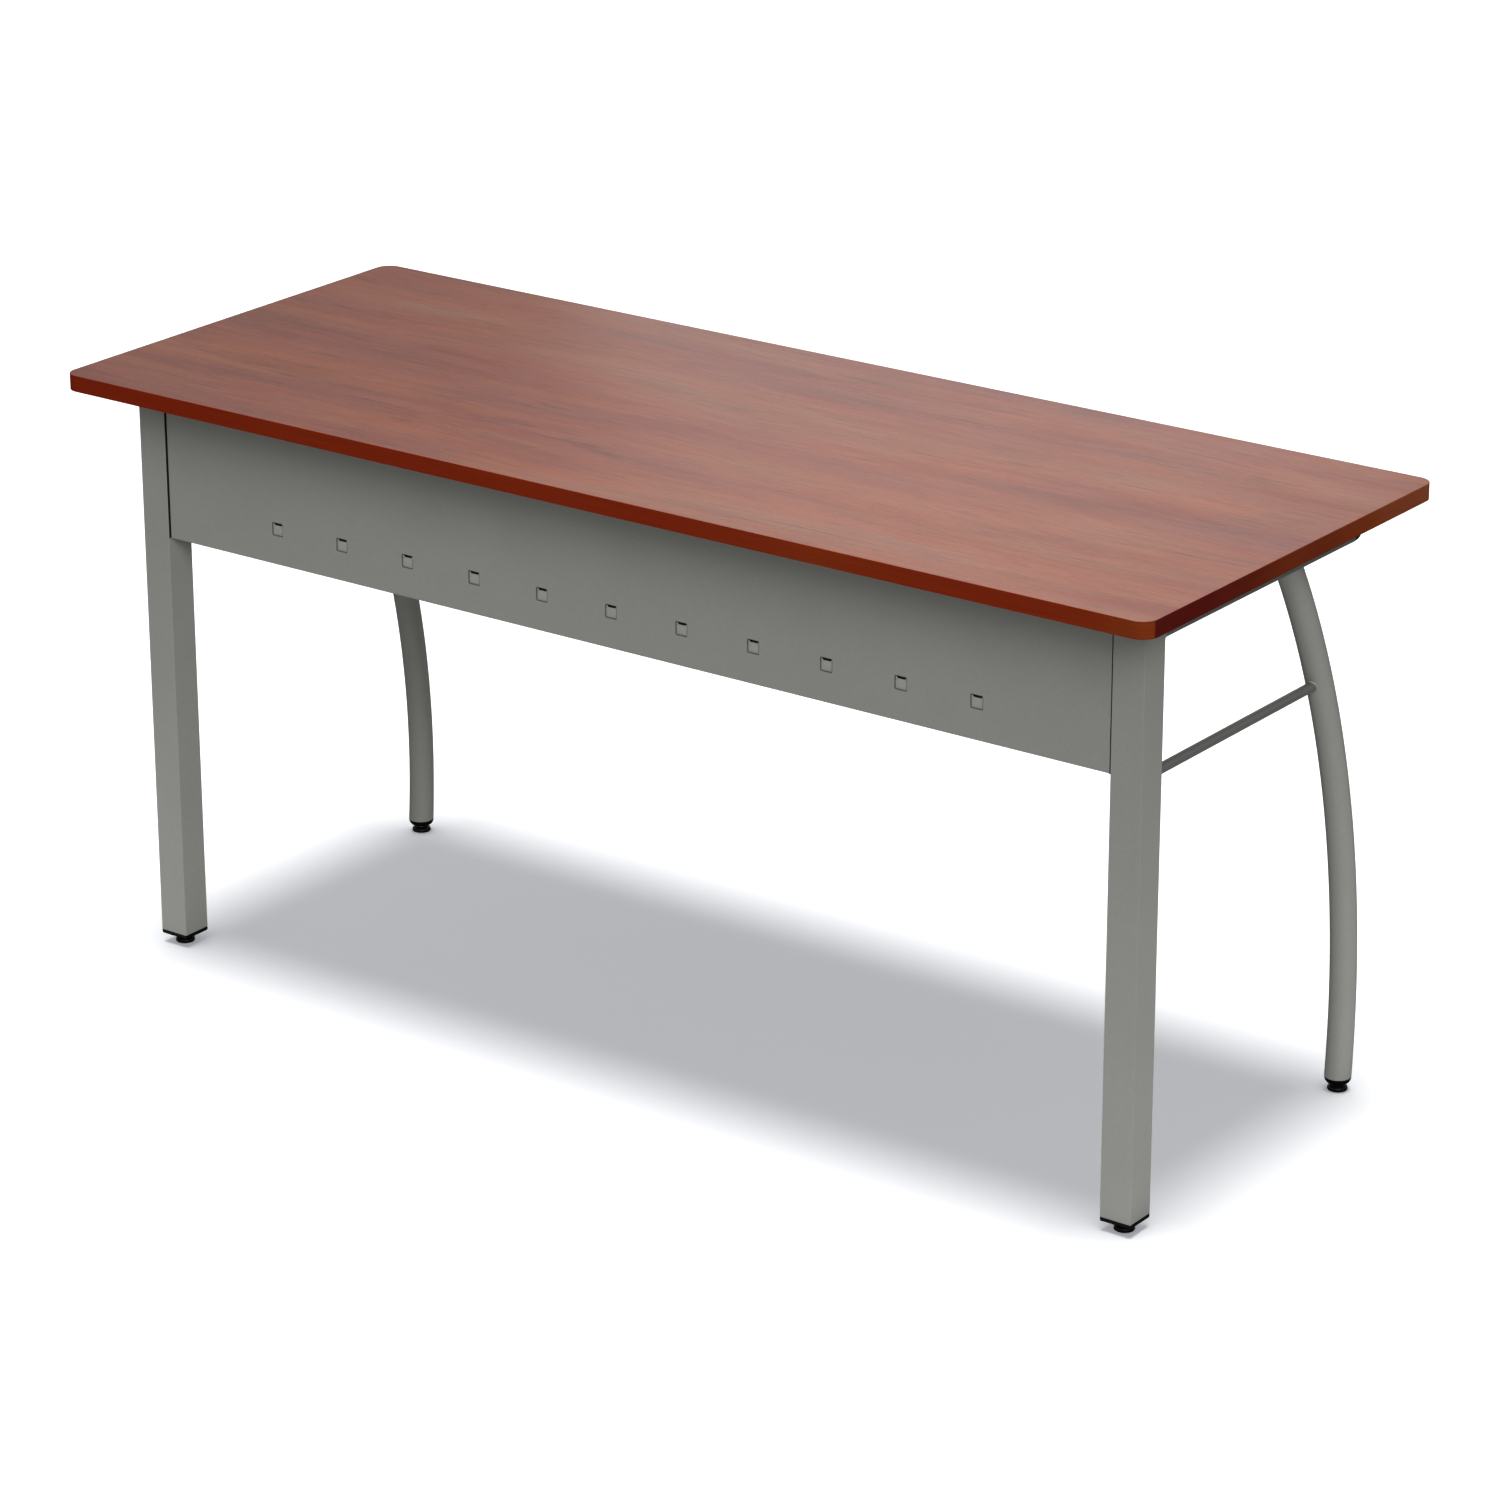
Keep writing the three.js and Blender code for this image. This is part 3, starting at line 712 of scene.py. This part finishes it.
def bowed_tube(x, low, high):
    def ring(radius, fraction, lowest, highest):
        return [bow_point(v, x + u, fraction, lowest, highest) for u, v in circle(radius, 48)]

    steps = 56
    inner = REAR_RADIUS - TUBE_WALL
    rings = [ring(REAR_RADIUS - CUT_EDGE, 0.0, low, high)]
    rings += [
        ring(REAR_RADIUS, i / steps, low + CUT_EDGE, high - CUT_EDGE) for i in range(steps + 1)
    ]
    rings += [ring(REAR_RADIUS - CUT_EDGE, 1.0, low, high)]
    rings += [ring(inner, 1 - i / steps, low, high) for i in range(steps + 1)]
    return loft(rings, wrap=True)


def bow_y(z, x_off=0.0):
    """Where the rear leg's surface towards the panel is, at a height and a sideways offset."""
    radius = BOW_RADIUS - math.sqrt(REAR_RADIUS**2 - x_off**2)
    return BOW_CENTRE_Y + math.sqrt(radius**2 - (z - BOW_CENTRE_Z) ** 2)


def nose_cap(x):
    """The rail's rounded end plug, with softened side edges, and its tongue."""
    half = RAIL_HEIGHT / 2
    edge = ((1.4, 0.0), (0.7, 0.12), (0.25, 0.5), (0.0, 1.3))
    stations = [(inset, -TUBE / 2 + across) for inset, across in edge]
    stations += [(inset, -across) for inset, across in stations[::-1]]
    shape = []
    for inset, across in stations:
        ring = []
        reach = RAIL_NOSE - inset
        size = NOSE_RADIUS - inset
        for turn, sign in ((0.0, -1), (0.5, 1)):
            for i in range(13):
                angle = math.pi * (-0.5 + turn + 0.5 * i / 12)
                y = reach - size + size * math.cos(angle)
                z = sign * (half - inset - size) + size * math.sin(angle)
                ring.append((x + across, RAIL_END + y, RAIL_Z + z))
        ring.append((x + across, RAIL_END, RAIL_Z + half - inset))
        ring.append((x + across, RAIL_END, RAIL_Z - half + inset))
        shape.append(ring)
    loose = 2 * TUBE_WALL + 0.6
    section = rounded_rect(TUBE - loose, RAIL_HEIGHT - loose, 1.0, 4)
    return [loft(shape), loft(along_y(section, (RAIL_END - 19.0, RAIL_END + 0.5), (x, RAIL_Z)))]


for label, side in SIDES:
    x = side * FRAME_X
    # The legs' coat has painted shade in the seam beside the panel.
    piece(
        f"front_tube_{label}",
        [box_tube(TUBE, TUBE_BOTTOM, UNDERSIDE, "z", (x, LEG_Y))],
        "frame_coat",
        instead_of=(f"front_leg_{label}",),
        finish="leg_coat_painted_shade",
    )
    # The rails' coat has painted shade on their outer faces.
    rail = piece(
        f"rail_tube_{label}",
        [box_tube(RAIL_HEIGHT, RAIL_FRONT, RAIL_END, "y", (x, RAIL_Z))],
        "frame_coat",
        instead_of=(f"side_rail_{label}",),
        finish="rail_coat_painted_shade",
    )
    drilled(
        rail,
        [turned([(ACCESS_HOLE, RAIL_BOTTOM - 5), (ACCESS_HOLE, RAIL_Z)], 40, (x, y)) for y in SCREW_Y],
    )
    piece(
        f"bowed_tube_{label}",
        [bowed_tube(x, BOW_BOTTOM, RAIL_BOTTOM)],
        "frame_coat",
        instead_of=(f"rear_leg_{label}",),
    )
    # The rods' coat is darkened as painted shade.
    piece(
        f"tie_rod_{label}",
        [loft(along_y(circle(ROD_RADIUS, 40), (LEG_BACK, bow_y(ROD_Z) + ROD_INTO_LEG), (x, ROD_Z)))],
        "frame_coat",
        instead_of=(f"side_rod_{label}",),
        finish="rod_coat_painted_shade",
    )
    piece(f"rail_plug_{label}", nose_cap(x), "black_plastic", instead_of=(f"rail_end_cap_{label}",))

    # Weld beads: rod to both legs, bowed leg to rail, the rail's sides and bottom to the front leg.
    rod_ring = circle(ROD_RADIUS + 0.3, 44)
    at_leg = [(x + u, LEG_BACK + 0.3, ROD_Z + v) for u, v in rod_ring]
    at_bow = [(x + u, bow_y(ROD_Z + v, u) - 0.2, ROD_Z + v) for u, v in rod_ring]
    bow_top = [
        bow_point(v, x + u, 1.0, BOW_BOTTOM, RAIL_BOTTOM - 0.4)
        for u, v in circle(REAR_RADIUS + 0.3, 90)
    ]
    half = TUBE / 2 - 0.4
    low = -RAIL_HEIGHT / 2 + 0.4
    top = 16.0
    corners = [(-half, top), (-half, low), (half, low), (half, top)]
    steps = 30
    rail_path = []
    for (u0, v0), (u1, v1) in zip(corners, corners[1:]):
        for i in range(steps):
            u = u0 + (u1 - u0) * i / steps
            v = v0 + (v1 - v0) * i / steps
            rail_path.append((x + u, LEG_BACK + 0.5, RAIL_Z + v))
    piece(
        f"weld_beads_{label}",
        [
            bead(at_leg, 1.3, seed=side),
            bead(at_bow, 1.3, seed=side + 3.0),
            bead(bow_top, 1.6, seed=side + 6.0),
            bead(rail_path, 1.2, closed=False, seed=side + 9.0),
        ],
        "frame_coat",
        crease=60.0,
        flat_faces=False,
    )


# ------------------------------------------------------------------ feet


def square_cap(centre):
    """Flange under the tube, round ribbed boss below it, tongue inside the tube, bore through."""

    def square(size, radius):
        return rounded_rect(size, size, radius, 17)

    guide = square(TUBE, TUBE_CORNER)
    ribbed = []
    for i, (u, v) in enumerate(circle_like(guide, 1.0)):
        size = BOSS - 0.35 * (0.5 + 0.5 * math.cos(24 * math.atan2(v, u)))
        ribbed.append((u * size, v * size))
    tongue = TUBE - 2 * TUBE_WALL - 0.6
    tongue_top = TUBE_BOTTOM + 20.0
    rings = [
        (circle_like(guide, BORE), CAP_LOW),
        (circle_like(guide, BOSS - 0.9), CAP_LOW),
        (ribbed, CAP_LOW + 0.5),
        (ribbed, TUBE_BOTTOM - 5.5),
        (square(TUBE - 3.4, 0.4), TUBE_BOTTOM - 5.4),
        (square(TUBE - 1.2, 0.5), TUBE_BOTTOM - 4.9),
        (square(TUBE - 0.2, TUBE_CORNER), TUBE_BOTTOM - 3.8),
        (square(TUBE, TUBE_CORNER), TUBE_BOTTOM - 0.3),
        (square(TUBE - 0.6, TUBE_CORNER - 0.3), TUBE_BOTTOM),
        (square(tongue, 1.0), TUBE_BOTTOM),
        (square(tongue, 1.0), tongue_top),
        (circle_like(guide, BORE), tongue_top),
    ]
    return loft([at_height(ring, z, centre) for ring, z in rings], wrap=True)


def round_cap(centre):
    """Dome under the round tube, narrowing to the boss, with its tongue and bore."""
    rings = [(BORE, CAP_LOW), (BOSS - 0.5, CAP_LOW), (BOSS, CAP_LOW + 0.5)]
    depth = BOW_BOTTOM - CAP_LOW - 0.9
    for i in range(11):
        angle = math.pi / 2 * i / 10
        radius = BOSS + (REAR_RADIUS - BOSS) * math.sin(angle)
        rings.append((radius, BOW_BOTTOM - 0.3 - depth * math.cos(angle)))
    tongue = 11.4
    tongue_top = BOW_BOTTOM + 14.0
    rings += [(REAR_RADIUS - 0.3, BOW_BOTTOM), (tongue, BOW_BOTTOM)]
    rings += [(tongue, tongue_top), (BORE, tongue_top)]
    return loft([at_height(circle(r, 64), z, centre) for r, z in rings], wrap=True)


def glide_pad(centre):
    """Moulded pad: crowned shoulder with a fine grip, flat base, undercut socket for the stud."""
    rings = [(0.4, 0.0, 0), (10.6, 0.0, 0), (11.5, 0.3, 0), (12.0, 1.1, 0), (12.0, 2.6, 1)]
    rings += [(11.8, 3.6, 1), (11.2, 4.6, 1), (10.3, 5.4, 0), (9.3, 5.85, 0), (8.2, 6.0, 0)]
    rings += [(BORE, 6.0, 0), (BORE, 4.2, 0), (6.4, 4.2, 0), (6.4, 2.0, 0), (0.4, 2.0, 0)]
    made = []
    for radius, z, grip in rings:
        ring = []
        for u, v in circle(1.0, 120):
            size = radius - grip * 0.22 * (0.5 + 0.5 * math.cos(30 * math.atan2(v, u)))
            ring.append((centre[0] + u * size, centre[1] + v * size, z))
        made.append(ring)
    return loft(made)


def threaded_stud(centre, top):
    """M8 stud with a real helical thread, and the round head that sits in the pad."""
    count = 32
    steps_per_turn = 8
    rings = [(6.0, 2.2), (6.0, 4.0), (3.6, 4.0)]
    made = [at_height(circle(0.3, count), 2.2, centre)]
    made += [at_height(circle(r, count), z, centre) for r, z in rings]
    z = 4.3
    while z < top - 0.9:
        ring = []
        for k in range(count):
            phase = (z / THREAD_PITCH - k / count) % 1.0
            groove = THREAD_DEPTH * (1 - abs(2 * phase - 1)) * min(1.0, (top - z) / 2.0)
            size = STUD_RADIUS - groove
            angle = 2 * math.pi * k / count
            ring.append((centre[0] + size * math.cos(angle), centre[1] + size * math.sin(angle), z))
        made.append(ring)
        z += THREAD_PITCH / steps_per_turn
    made.append(at_height(circle(3.0, count), top, centre))
    return loft(made)


for label, side in SIDES:
    x = side * FRAME_X
    for row, y, cap in (("front", LEG_Y, square_cap), ("rear", REAR_FOOT_Y, round_cap)):
        centre = (x, y)
        stud_top = box_mm(f"glide_stud_{row}_{label}")[1][2]
        piece(
            f"foot_cap_{row}_{label}",
            [cap(centre)],
            "black_plastic",
            instead_of=(f"{row}_leg_cap_{label}",),
        )
        piece(
            f"pad_{row}_{label}",
            [glide_pad(centre)],
            "black_plastic",
            body=f"glide_foot_{row}_{label}",
            instead_of=(f"glide_pad_{row}_{label}",),
        )
        piece(
            f"stud_{row}_{label}",
            [threaded_stud(centre, stud_top)],
            "zinc_steel",
            body=f"glide_screw_{row}_{label}",
            instead_of=(f"glide_stud_{row}_{label}",),
            crease=25.0,
            flat_faces=False,
        )


# ------------------------------------------------------------------ modesty panel


def four_sides(side):
    """A ring of one side and its three quarter turns."""
    ring = []
    for _ in range(4):
        ring += side
        side = [(-v, u) for u, v in side]
    return ring


def square_ring(half, radius):
    """A rounded square whose corners take a quarter of each side's points at either end."""
    side = []
    arc = CELL_STEPS // 4
    straight = half - radius
    for j in range(CELL_STEPS):
        if j < arc:
            angle = math.pi / 4 * (j / arc)
            point = (
                straight + radius * math.cos(math.pi / 4 + angle),
                straight + radius * math.sin(math.pi / 4 + angle),
            )
        elif j <= CELL_STEPS - arc:
            share = (j - arc) / (CELL_STEPS - 2 * arc)
            point = (straight - 2 * straight * share, half)
        else:
            angle = math.pi / 4 * (j - CELL_STEPS + arc) / arc
            point = (
                -straight + radius * math.cos(math.pi / 2 + angle),
                straight + radius * math.sin(math.pi / 2 + angle),
            )
        side.append(point)
    return four_sides(side)


def cell_edge():
    """The cell's square boundary, with evenly spaced points in the same order."""
    step = 2 * CELL_HALF / CELL_STEPS
    return four_sides([(CELL_HALF - j * step, CELL_HALF) for j in range(CELL_STEPS)])


def pressed_square(cx):
    """Rings from the cell's edge over the pressed wall to its floor. y grows into the panel.

    Along its top side the wall runs on down a narrow slit before it comes back up to the floor.
    """
    rings = [(cell_edge(), [0.0] * 4 * CELL_STEPS)]
    for half, radius, depth, slit_top, slit_depth in (
        (8.60, 2.00, 0.0, 8.60, 0.0),
        (8.05, 1.80, 0.10, 8.05, 0.14),
        (7.70, 1.55, 0.42, 7.70, 0.55),
        (7.55, 1.45, 0.90, 7.55, 1.50),
        (7.45, 1.35, RECESS - 0.15, 7.50, SLIT_DEPTH),
        (7.20, 1.20, RECESS, SQUARE_HALF - SLIT_HEIGHT + 0.1, SLIT_DEPTH),
        (7.00, 1.10, RECESS, SQUARE_HALF - SLIT_HEIGHT, RECESS + 0.15),
        (6.60, 1.00, RECESS, 7.20 - SLIT_HEIGHT, RECESS),
        (3.50, 0.80, RECESS - 0.05, 3.50, RECESS - 0.05),
    ):
        ring = []
        depths = []
        for u, v in square_ring(half, radius):
            on_top = v > half - 0.35
            ring.append((u, slit_top if on_top else v))
            depths.append(slit_depth if on_top else depth)
        rings.append((ring, depths))
    shape = [
        [(cx + u, PANEL_FRONT + depth, SQUARE_Z + v) for (u, v), depth in zip(ring, depths)]
        for ring, depths in rings
    ]
    points, faces = loft(shape, caps=False)
    count = 4 * CELL_STEPS
    faces.append(tuple(len(points) - count + k for k in range(count)))
    return points, faces


def quad(*corners):
    return list(corners), [(0, 1, 2, 3)]


def panel_skin():
    """The panel's outer skin as one sheet: pressed face, top flange, bottom lip, side flanges."""
    face_half = PANEL_HALF - SIDE_BEND
    face_low = PANEL_BOTTOM + BEND
    face_high = UNDERSIDE - BEND
    centres = [(i - (SQUARES - 1) / 2) * SQUARE_PITCH for i in range(SQUARES)]
    step = 2 * CELL_HALF / CELL_STEPS
    xs = [-face_half, face_half]
    for cx in centres:
        xs += [cx - CELL_HALF + j * step for j in range(CELL_STEPS + 1)]
    xs = sorted(xs)
    zs = [face_low, *PLAIN_ROWS, face_high]
    zs += [SQUARE_Z - CELL_HALF + j * step for j in range(CELL_STEPS + 1)]
    zs = sorted(zs)

    def in_cell(u, v):
        inside = any(abs(u - cx) < CELL_HALF - 1e-6 for cx in centres)
        return inside and abs(v - SQUARE_Z) < CELL_HALF - 1e-6

    y = PANEL_FRONT
    shapes = [pressed_square(cx) for cx in centres]
    for x0, x1 in zip(xs, xs[1:]):
        for z0, z1 in zip(zs, zs[1:]):
            if not in_cell((x0 + x1) / 2, (z0 + z1) / 2):
                shapes.append(quad((x0, y, z0), (x1, y, z0), (x1, y, z1), (x0, y, z1)))

    for edge, away, depths in (
        (face_low, -1, (7.0, BOTTOM_LIP)),
        (face_high, 1, (14.0, TOP_FLANGE)),
    ):
        pairs = [(PANEL_FRONT + depth, edge + away * reach) for depth, reach in bend(BEND)]
        pairs += [(PANEL_FRONT + depth, edge + away * BEND) for depth in depths]
        for x0, x1 in zip(xs, xs[1:]):
            for (y0, z0), (y1, z1) in zip(pairs, pairs[1:]):
                shapes.append(quad((x0, y0, z0), (x1, y0, z0), (x1, y1, z1), (x0, y1, z1)))
    upright = [PANEL_BOTTOM, *zs]
    for side in (-1, 1):
        pairs = [
            (side * (face_half + reach), PANEL_FRONT + depth) for depth, reach in bend(SIDE_BEND)
        ]
        pairs += [(side * PANEL_HALF, PANEL_FRONT + d) for d in (15.0, SIDE_FLANGE)]
        for z0, z1 in zip(upright, upright[1:]):
            for (x0, y0), (x1, y1) in zip(pairs, pairs[1:]):
                shapes.append(quad((x0, y0, z0), (x1, y1, z0), (x1, y1, z1), (x0, y0, z1)))
    return shapes


def modesty_panel():
    """The skin's shapes joined, with its pressed face turned to -Y, and thickened inwards."""
    builder = filled(panel_skin())
    bmesh.ops.remove_doubles(builder, verts=builder.verts, dist=1e-6)
    bmesh.ops.recalc_face_normals(builder, faces=builder.faces)

    def behind(face):
        return face.calc_center_median().y + abs(face.normal.x) + abs(face.normal.z)

    if min(builder.faces, key=behind).normal.y > 0:
        bmesh.ops.reverse_faces(builder, faces=builder.faces)
    # The panel's coat has painted shade and painted light.
    made = show(
        "folded_panel",
        mesh_of("folded_panel", builder),
        "frame_coat",
        body="desk",
        instead_of=("modesty_panel",),
        crease=40.0,
        flat_faces=False,
        finish="panel_coat_painted_light_and_shade",
    )
    thick = made.modifiers.new("sheet thickness", "SOLIDIFY")
    thick.thickness = SHEET * MM
    thick.offset = -1.0
    keep_flat(made)


modesty_panel()


# ------------------------------------------------------------------ fasteners


def recess_ring(kind, size, count):
    """The outline of a hexagon socket or of a cross recess, one point per direction."""
    ring = []
    for k in range(count):
        angle = 2 * math.pi * k / count
        if kind == "hexagon":
            radius = size * math.cos(math.pi / 6) / math.cos((angle % (math.pi / 3)) - math.pi / 6)
        else:
            away = abs((angle + math.pi / 4) % (math.pi / 2) - math.pi / 4)
            arm = min(size, 0.24 * size / max(math.sin(away), 1e-3))
            radius = max(arm, 0.34 * size)
        ring.append((radius * math.cos(angle), radius * math.sin(angle)))
    return ring


PANEL_SCREW = {"shank": 3.0, "length": 13.0, "head": 5.3, "height": 3.3, "kind": "hexagon"}
RAIL_SCREW = {**PANEL_SCREW, "length": 14.0}
WOOD_SCREW = {"shank": 1.9, "length": 15.0, "head": 3.8, "height": 2.2, "kind": "cross"}


def screw(shank, length, head, height, kind):
    """A domed screw along +Z: its head below zero with the driver's recess, its shank above."""
    count = 48
    recess = recess_ring(kind, head * (0.5 if kind == "hexagon" else 0.62), count)
    deep = [(0.8 * u, 0.8 * v) for u, v in recess]
    rings = [
        at_height([(0.1 * u, 0.1 * v) for u, v in deep], -0.45 * height),
        at_height(deep, -0.45 * height),
        at_height(recess, -height),
    ]
    for share, drop in ((0.72, 1.0), (0.84, 0.93), (0.93, 0.78), (0.985, 0.55), (1.0, 0.3)):
        rings.append(at_height(circle(head * share, count), -height * drop))
    rings.append(at_height(circle(head, count), 0.0))
    rings.append(at_height(circle(shank, count), 0.0))
    rings.append(at_height(circle(shank, count), length - 1.0))
    rings.append(at_height(circle(shank * 0.6, count), length))
    return loft(rings)


for label, side in SIDES:
    for i in (1, 2):
        node = f"panel_bolt_{label}_{i}"
        _, y, z = centre_of(node)
        place = Matrix.Translation((side * (PANEL_HALF - SHEET), y, z))
        place @= Matrix.Rotation(side * math.pi / 2, 4, "Y")
        piece(
            f"socket_screw_{label}_{i}",
            [moved(screw(**PANEL_SCREW), place)],
            "zinc_steel",
            instead_of=(node,),
        )
    for i in (1, 2, 3):
        node = f"rail_screw_{label}_{i}"
        x, y, _ = centre_of(node)
        place = Matrix.Translation((x, y, UNDERSIDE - TUBE_WALL))
        piece(
            f"top_screw_{label}_{i}",
            [moved(screw(**RAIL_SCREW), place)],
            "zinc_steel",
            instead_of=(node,),
        )
for i in range(1, 6):
    node = f"flange_screw_{i}"
    x, y, _ = centre_of(node)
    place = Matrix.Translation((x, y, UNDERSIDE - SHEET))
    piece(
        f"wood_screw_{i}",
        [moved(screw(**WOOD_SCREW), place)],
        "zinc_steel",
        instead_of=(node,),
    )


# ------------------------------------------------------------------ floor, light, camera

scene = bpy.context.scene


def studio_floor():
    """A pale floor. Soft light off it isn't wanted on the desk's lower faces, so it sends none back."""
    f = Finish("studio_floor", 0.9, specular=0.0)
    cloud = f.noise(f.place, 0.7, 2.0)
    f.colour(f.ramp(cloud, (0.3, (0.880, 0.885, 0.887)), (0.7, (0.890, 0.895, 0.897))))
    mesh = bpy.data.meshes.new("studio_floor")
    size = 40.0
    corners = [(-size, -size, 0), (size, -size, 0), (size, size, 0), (-size, size, 0)]
    mesh.from_pydata(corners, [], [(0, 1, 2, 3)])
    mesh.materials.append(f.material)
    made = bpy.data.objects.new("studio_floor", mesh)
    made.visible_diffuse = False
    made.visible_glossy = False
    scene.collection.objects.link(made)
    return made


def studio_surround():
    """Soft light from all round, brighter above the horizon than below it."""
    world = bpy.data.worlds.new("studio")
    scene.world = world
    world.use_nodes = True
    nodes = world.node_tree.nodes
    links = world.node_tree.links
    background = nodes["Background"]
    background.inputs["Strength"].default_value = 1.0
    direction = nodes.new("ShaderNodeTexCoord").outputs["Generated"]
    parts = nodes.new("ShaderNodeSeparateXYZ")
    links.new(direction, parts.inputs[0])
    height = nodes.new("ShaderNodeMapRange")
    links.new(parts.outputs["Z"], height.inputs["Value"])
    height.inputs["From Min"].default_value = -1.0
    ramp = nodes.new("ShaderNodeValToRGB")
    links.new(height.outputs["Result"], ramp.inputs["Fac"])
    stops = ((0.0, 0.03), (0.47, 0.04), (0.53, 0.55), (0.71, 0.55), (0.82, 0.40), (1.0, 0.30))
    elements = ramp.color_ramp.elements
    while len(elements) < len(stops):
        elements.new(0.5)
    for element, (position, grey) in zip(elements, stops):
        element.position = position
        element.color = (0.99 * grey, grey, grey, 1.0)
    links.new(ramp.outputs["Color"], background.inputs["Color"])


def link_light(made, floor, only):
    """Lights only the given objects, or everything but the floor when none are given."""
    chosen = bpy.data.collections.new(made.name)
    for obj in only or (floor,):
        chosen.objects.link(obj)
    for member in chosen.collection_objects:
        member.light_linking.link_state = "INCLUDE" if only else "EXCLUDE"
    made.light_linking.receiver_collection = chosen


def sunlight(name, towards, energy, spread, floor, only=(), shadows=True, colour=(1, 1, 1)):
    """Wide even light along a direction."""
    lamp = bpy.data.lights.new(name, "SUN")
    lamp.energy = energy
    lamp.color = colour
    lamp.angle = math.radians(spread)
    lamp.use_shadow = shadows
    made = bpy.data.objects.new(name, lamp)
    made.rotation_euler = Vector(towards).to_track_quat("-Z", "Y").to_euler()
    scene.collection.objects.link(made)
    link_light(made, floor, only)


def softbox(name, place, target, size, watts, floor, only=()):
    """A soft light of (width, height), unseen itself."""
    lamp = bpy.data.lights.new(name, "AREA")
    lamp.shape = "RECTANGLE"
    lamp.size, lamp.size_y = size
    lamp.energy = watts
    made = bpy.data.objects.new(name, lamp)
    made.location = place
    aim = Vector(target) - Vector(place)
    made.rotation_euler = aim.to_track_quat("-Z", "Y").to_euler()
    made.visible_camera = False
    scene.collection.objects.link(made)
    link_light(made, floor, only)


def camera():
    made = bpy.data.objects.new("camera", bpy.data.cameras.new("camera"))
    made.data.sensor_width = 36.0
    made.data.lens = 126.378
    made.data.clip_end = 200.0
    azimuth, elevation, roll = (math.radians(a) for a in (36.4397, 20.8026, -0.1153))
    made.location = (3.47882, -4.668205, 2.558823)
    level = math.cos(elevation)
    look = Vector((-math.sin(azimuth) * level, math.cos(azimuth) * level, -math.sin(elevation)))
    turn = look.to_track_quat("-Z", "Y") @ Matrix.Rotation(roll, 3, "Z").to_quaternion()
    made.rotation_euler = turn.to_euler()
    scene.collection.objects.link(made)
    scene.camera = made


studio_surround()
floor = studio_floor()
sunlight("floor_light", (-0.013, 0.047, -1.0), 3.55, 19.0, floor, (floor,))
pale_blue = (0.885, 0.90, 1.0)
sunlight("floor_fill", (0.0, 0.0, -1.0), 0.75, 10.0, floor, (floor,), False, pale_blue)
sunlight("front_light", (-1.0, 1.0, -0.93), 1.55, 28.0, floor)
worktop = [bpy.data.objects[name] for name in ("laminate_sheet", "edge_band")]
softbox("top_softbox", (0.5, -0.26, 2.15), (0.5, -0.26, 0.75), (1.0, 1.0), 16.9, floor, worktop)
softbox("back_softbox", (-0.55, 1.4, 0.98), (0.0, 0.1, 0.75), (1.2, 0.35), 2.3, floor)
softbox("front_glow", (0.3, -0.735, 0.004), (0.3, -0.735, 1.0), (3.4, 1.0), 6.0, floor)
softbox("side_glow", (1.24, 0.3, 0.004), (1.24, 0.3, 1.0), (1.0, 1.3), 1.9, floor)
softbox("under_glow", (0.0, 0.05, 0.004), (0.0, 0.05, 1.0), (1.3, 0.5), 0.3, floor)
camera()
scene.view_settings.view_transform = "Standard"
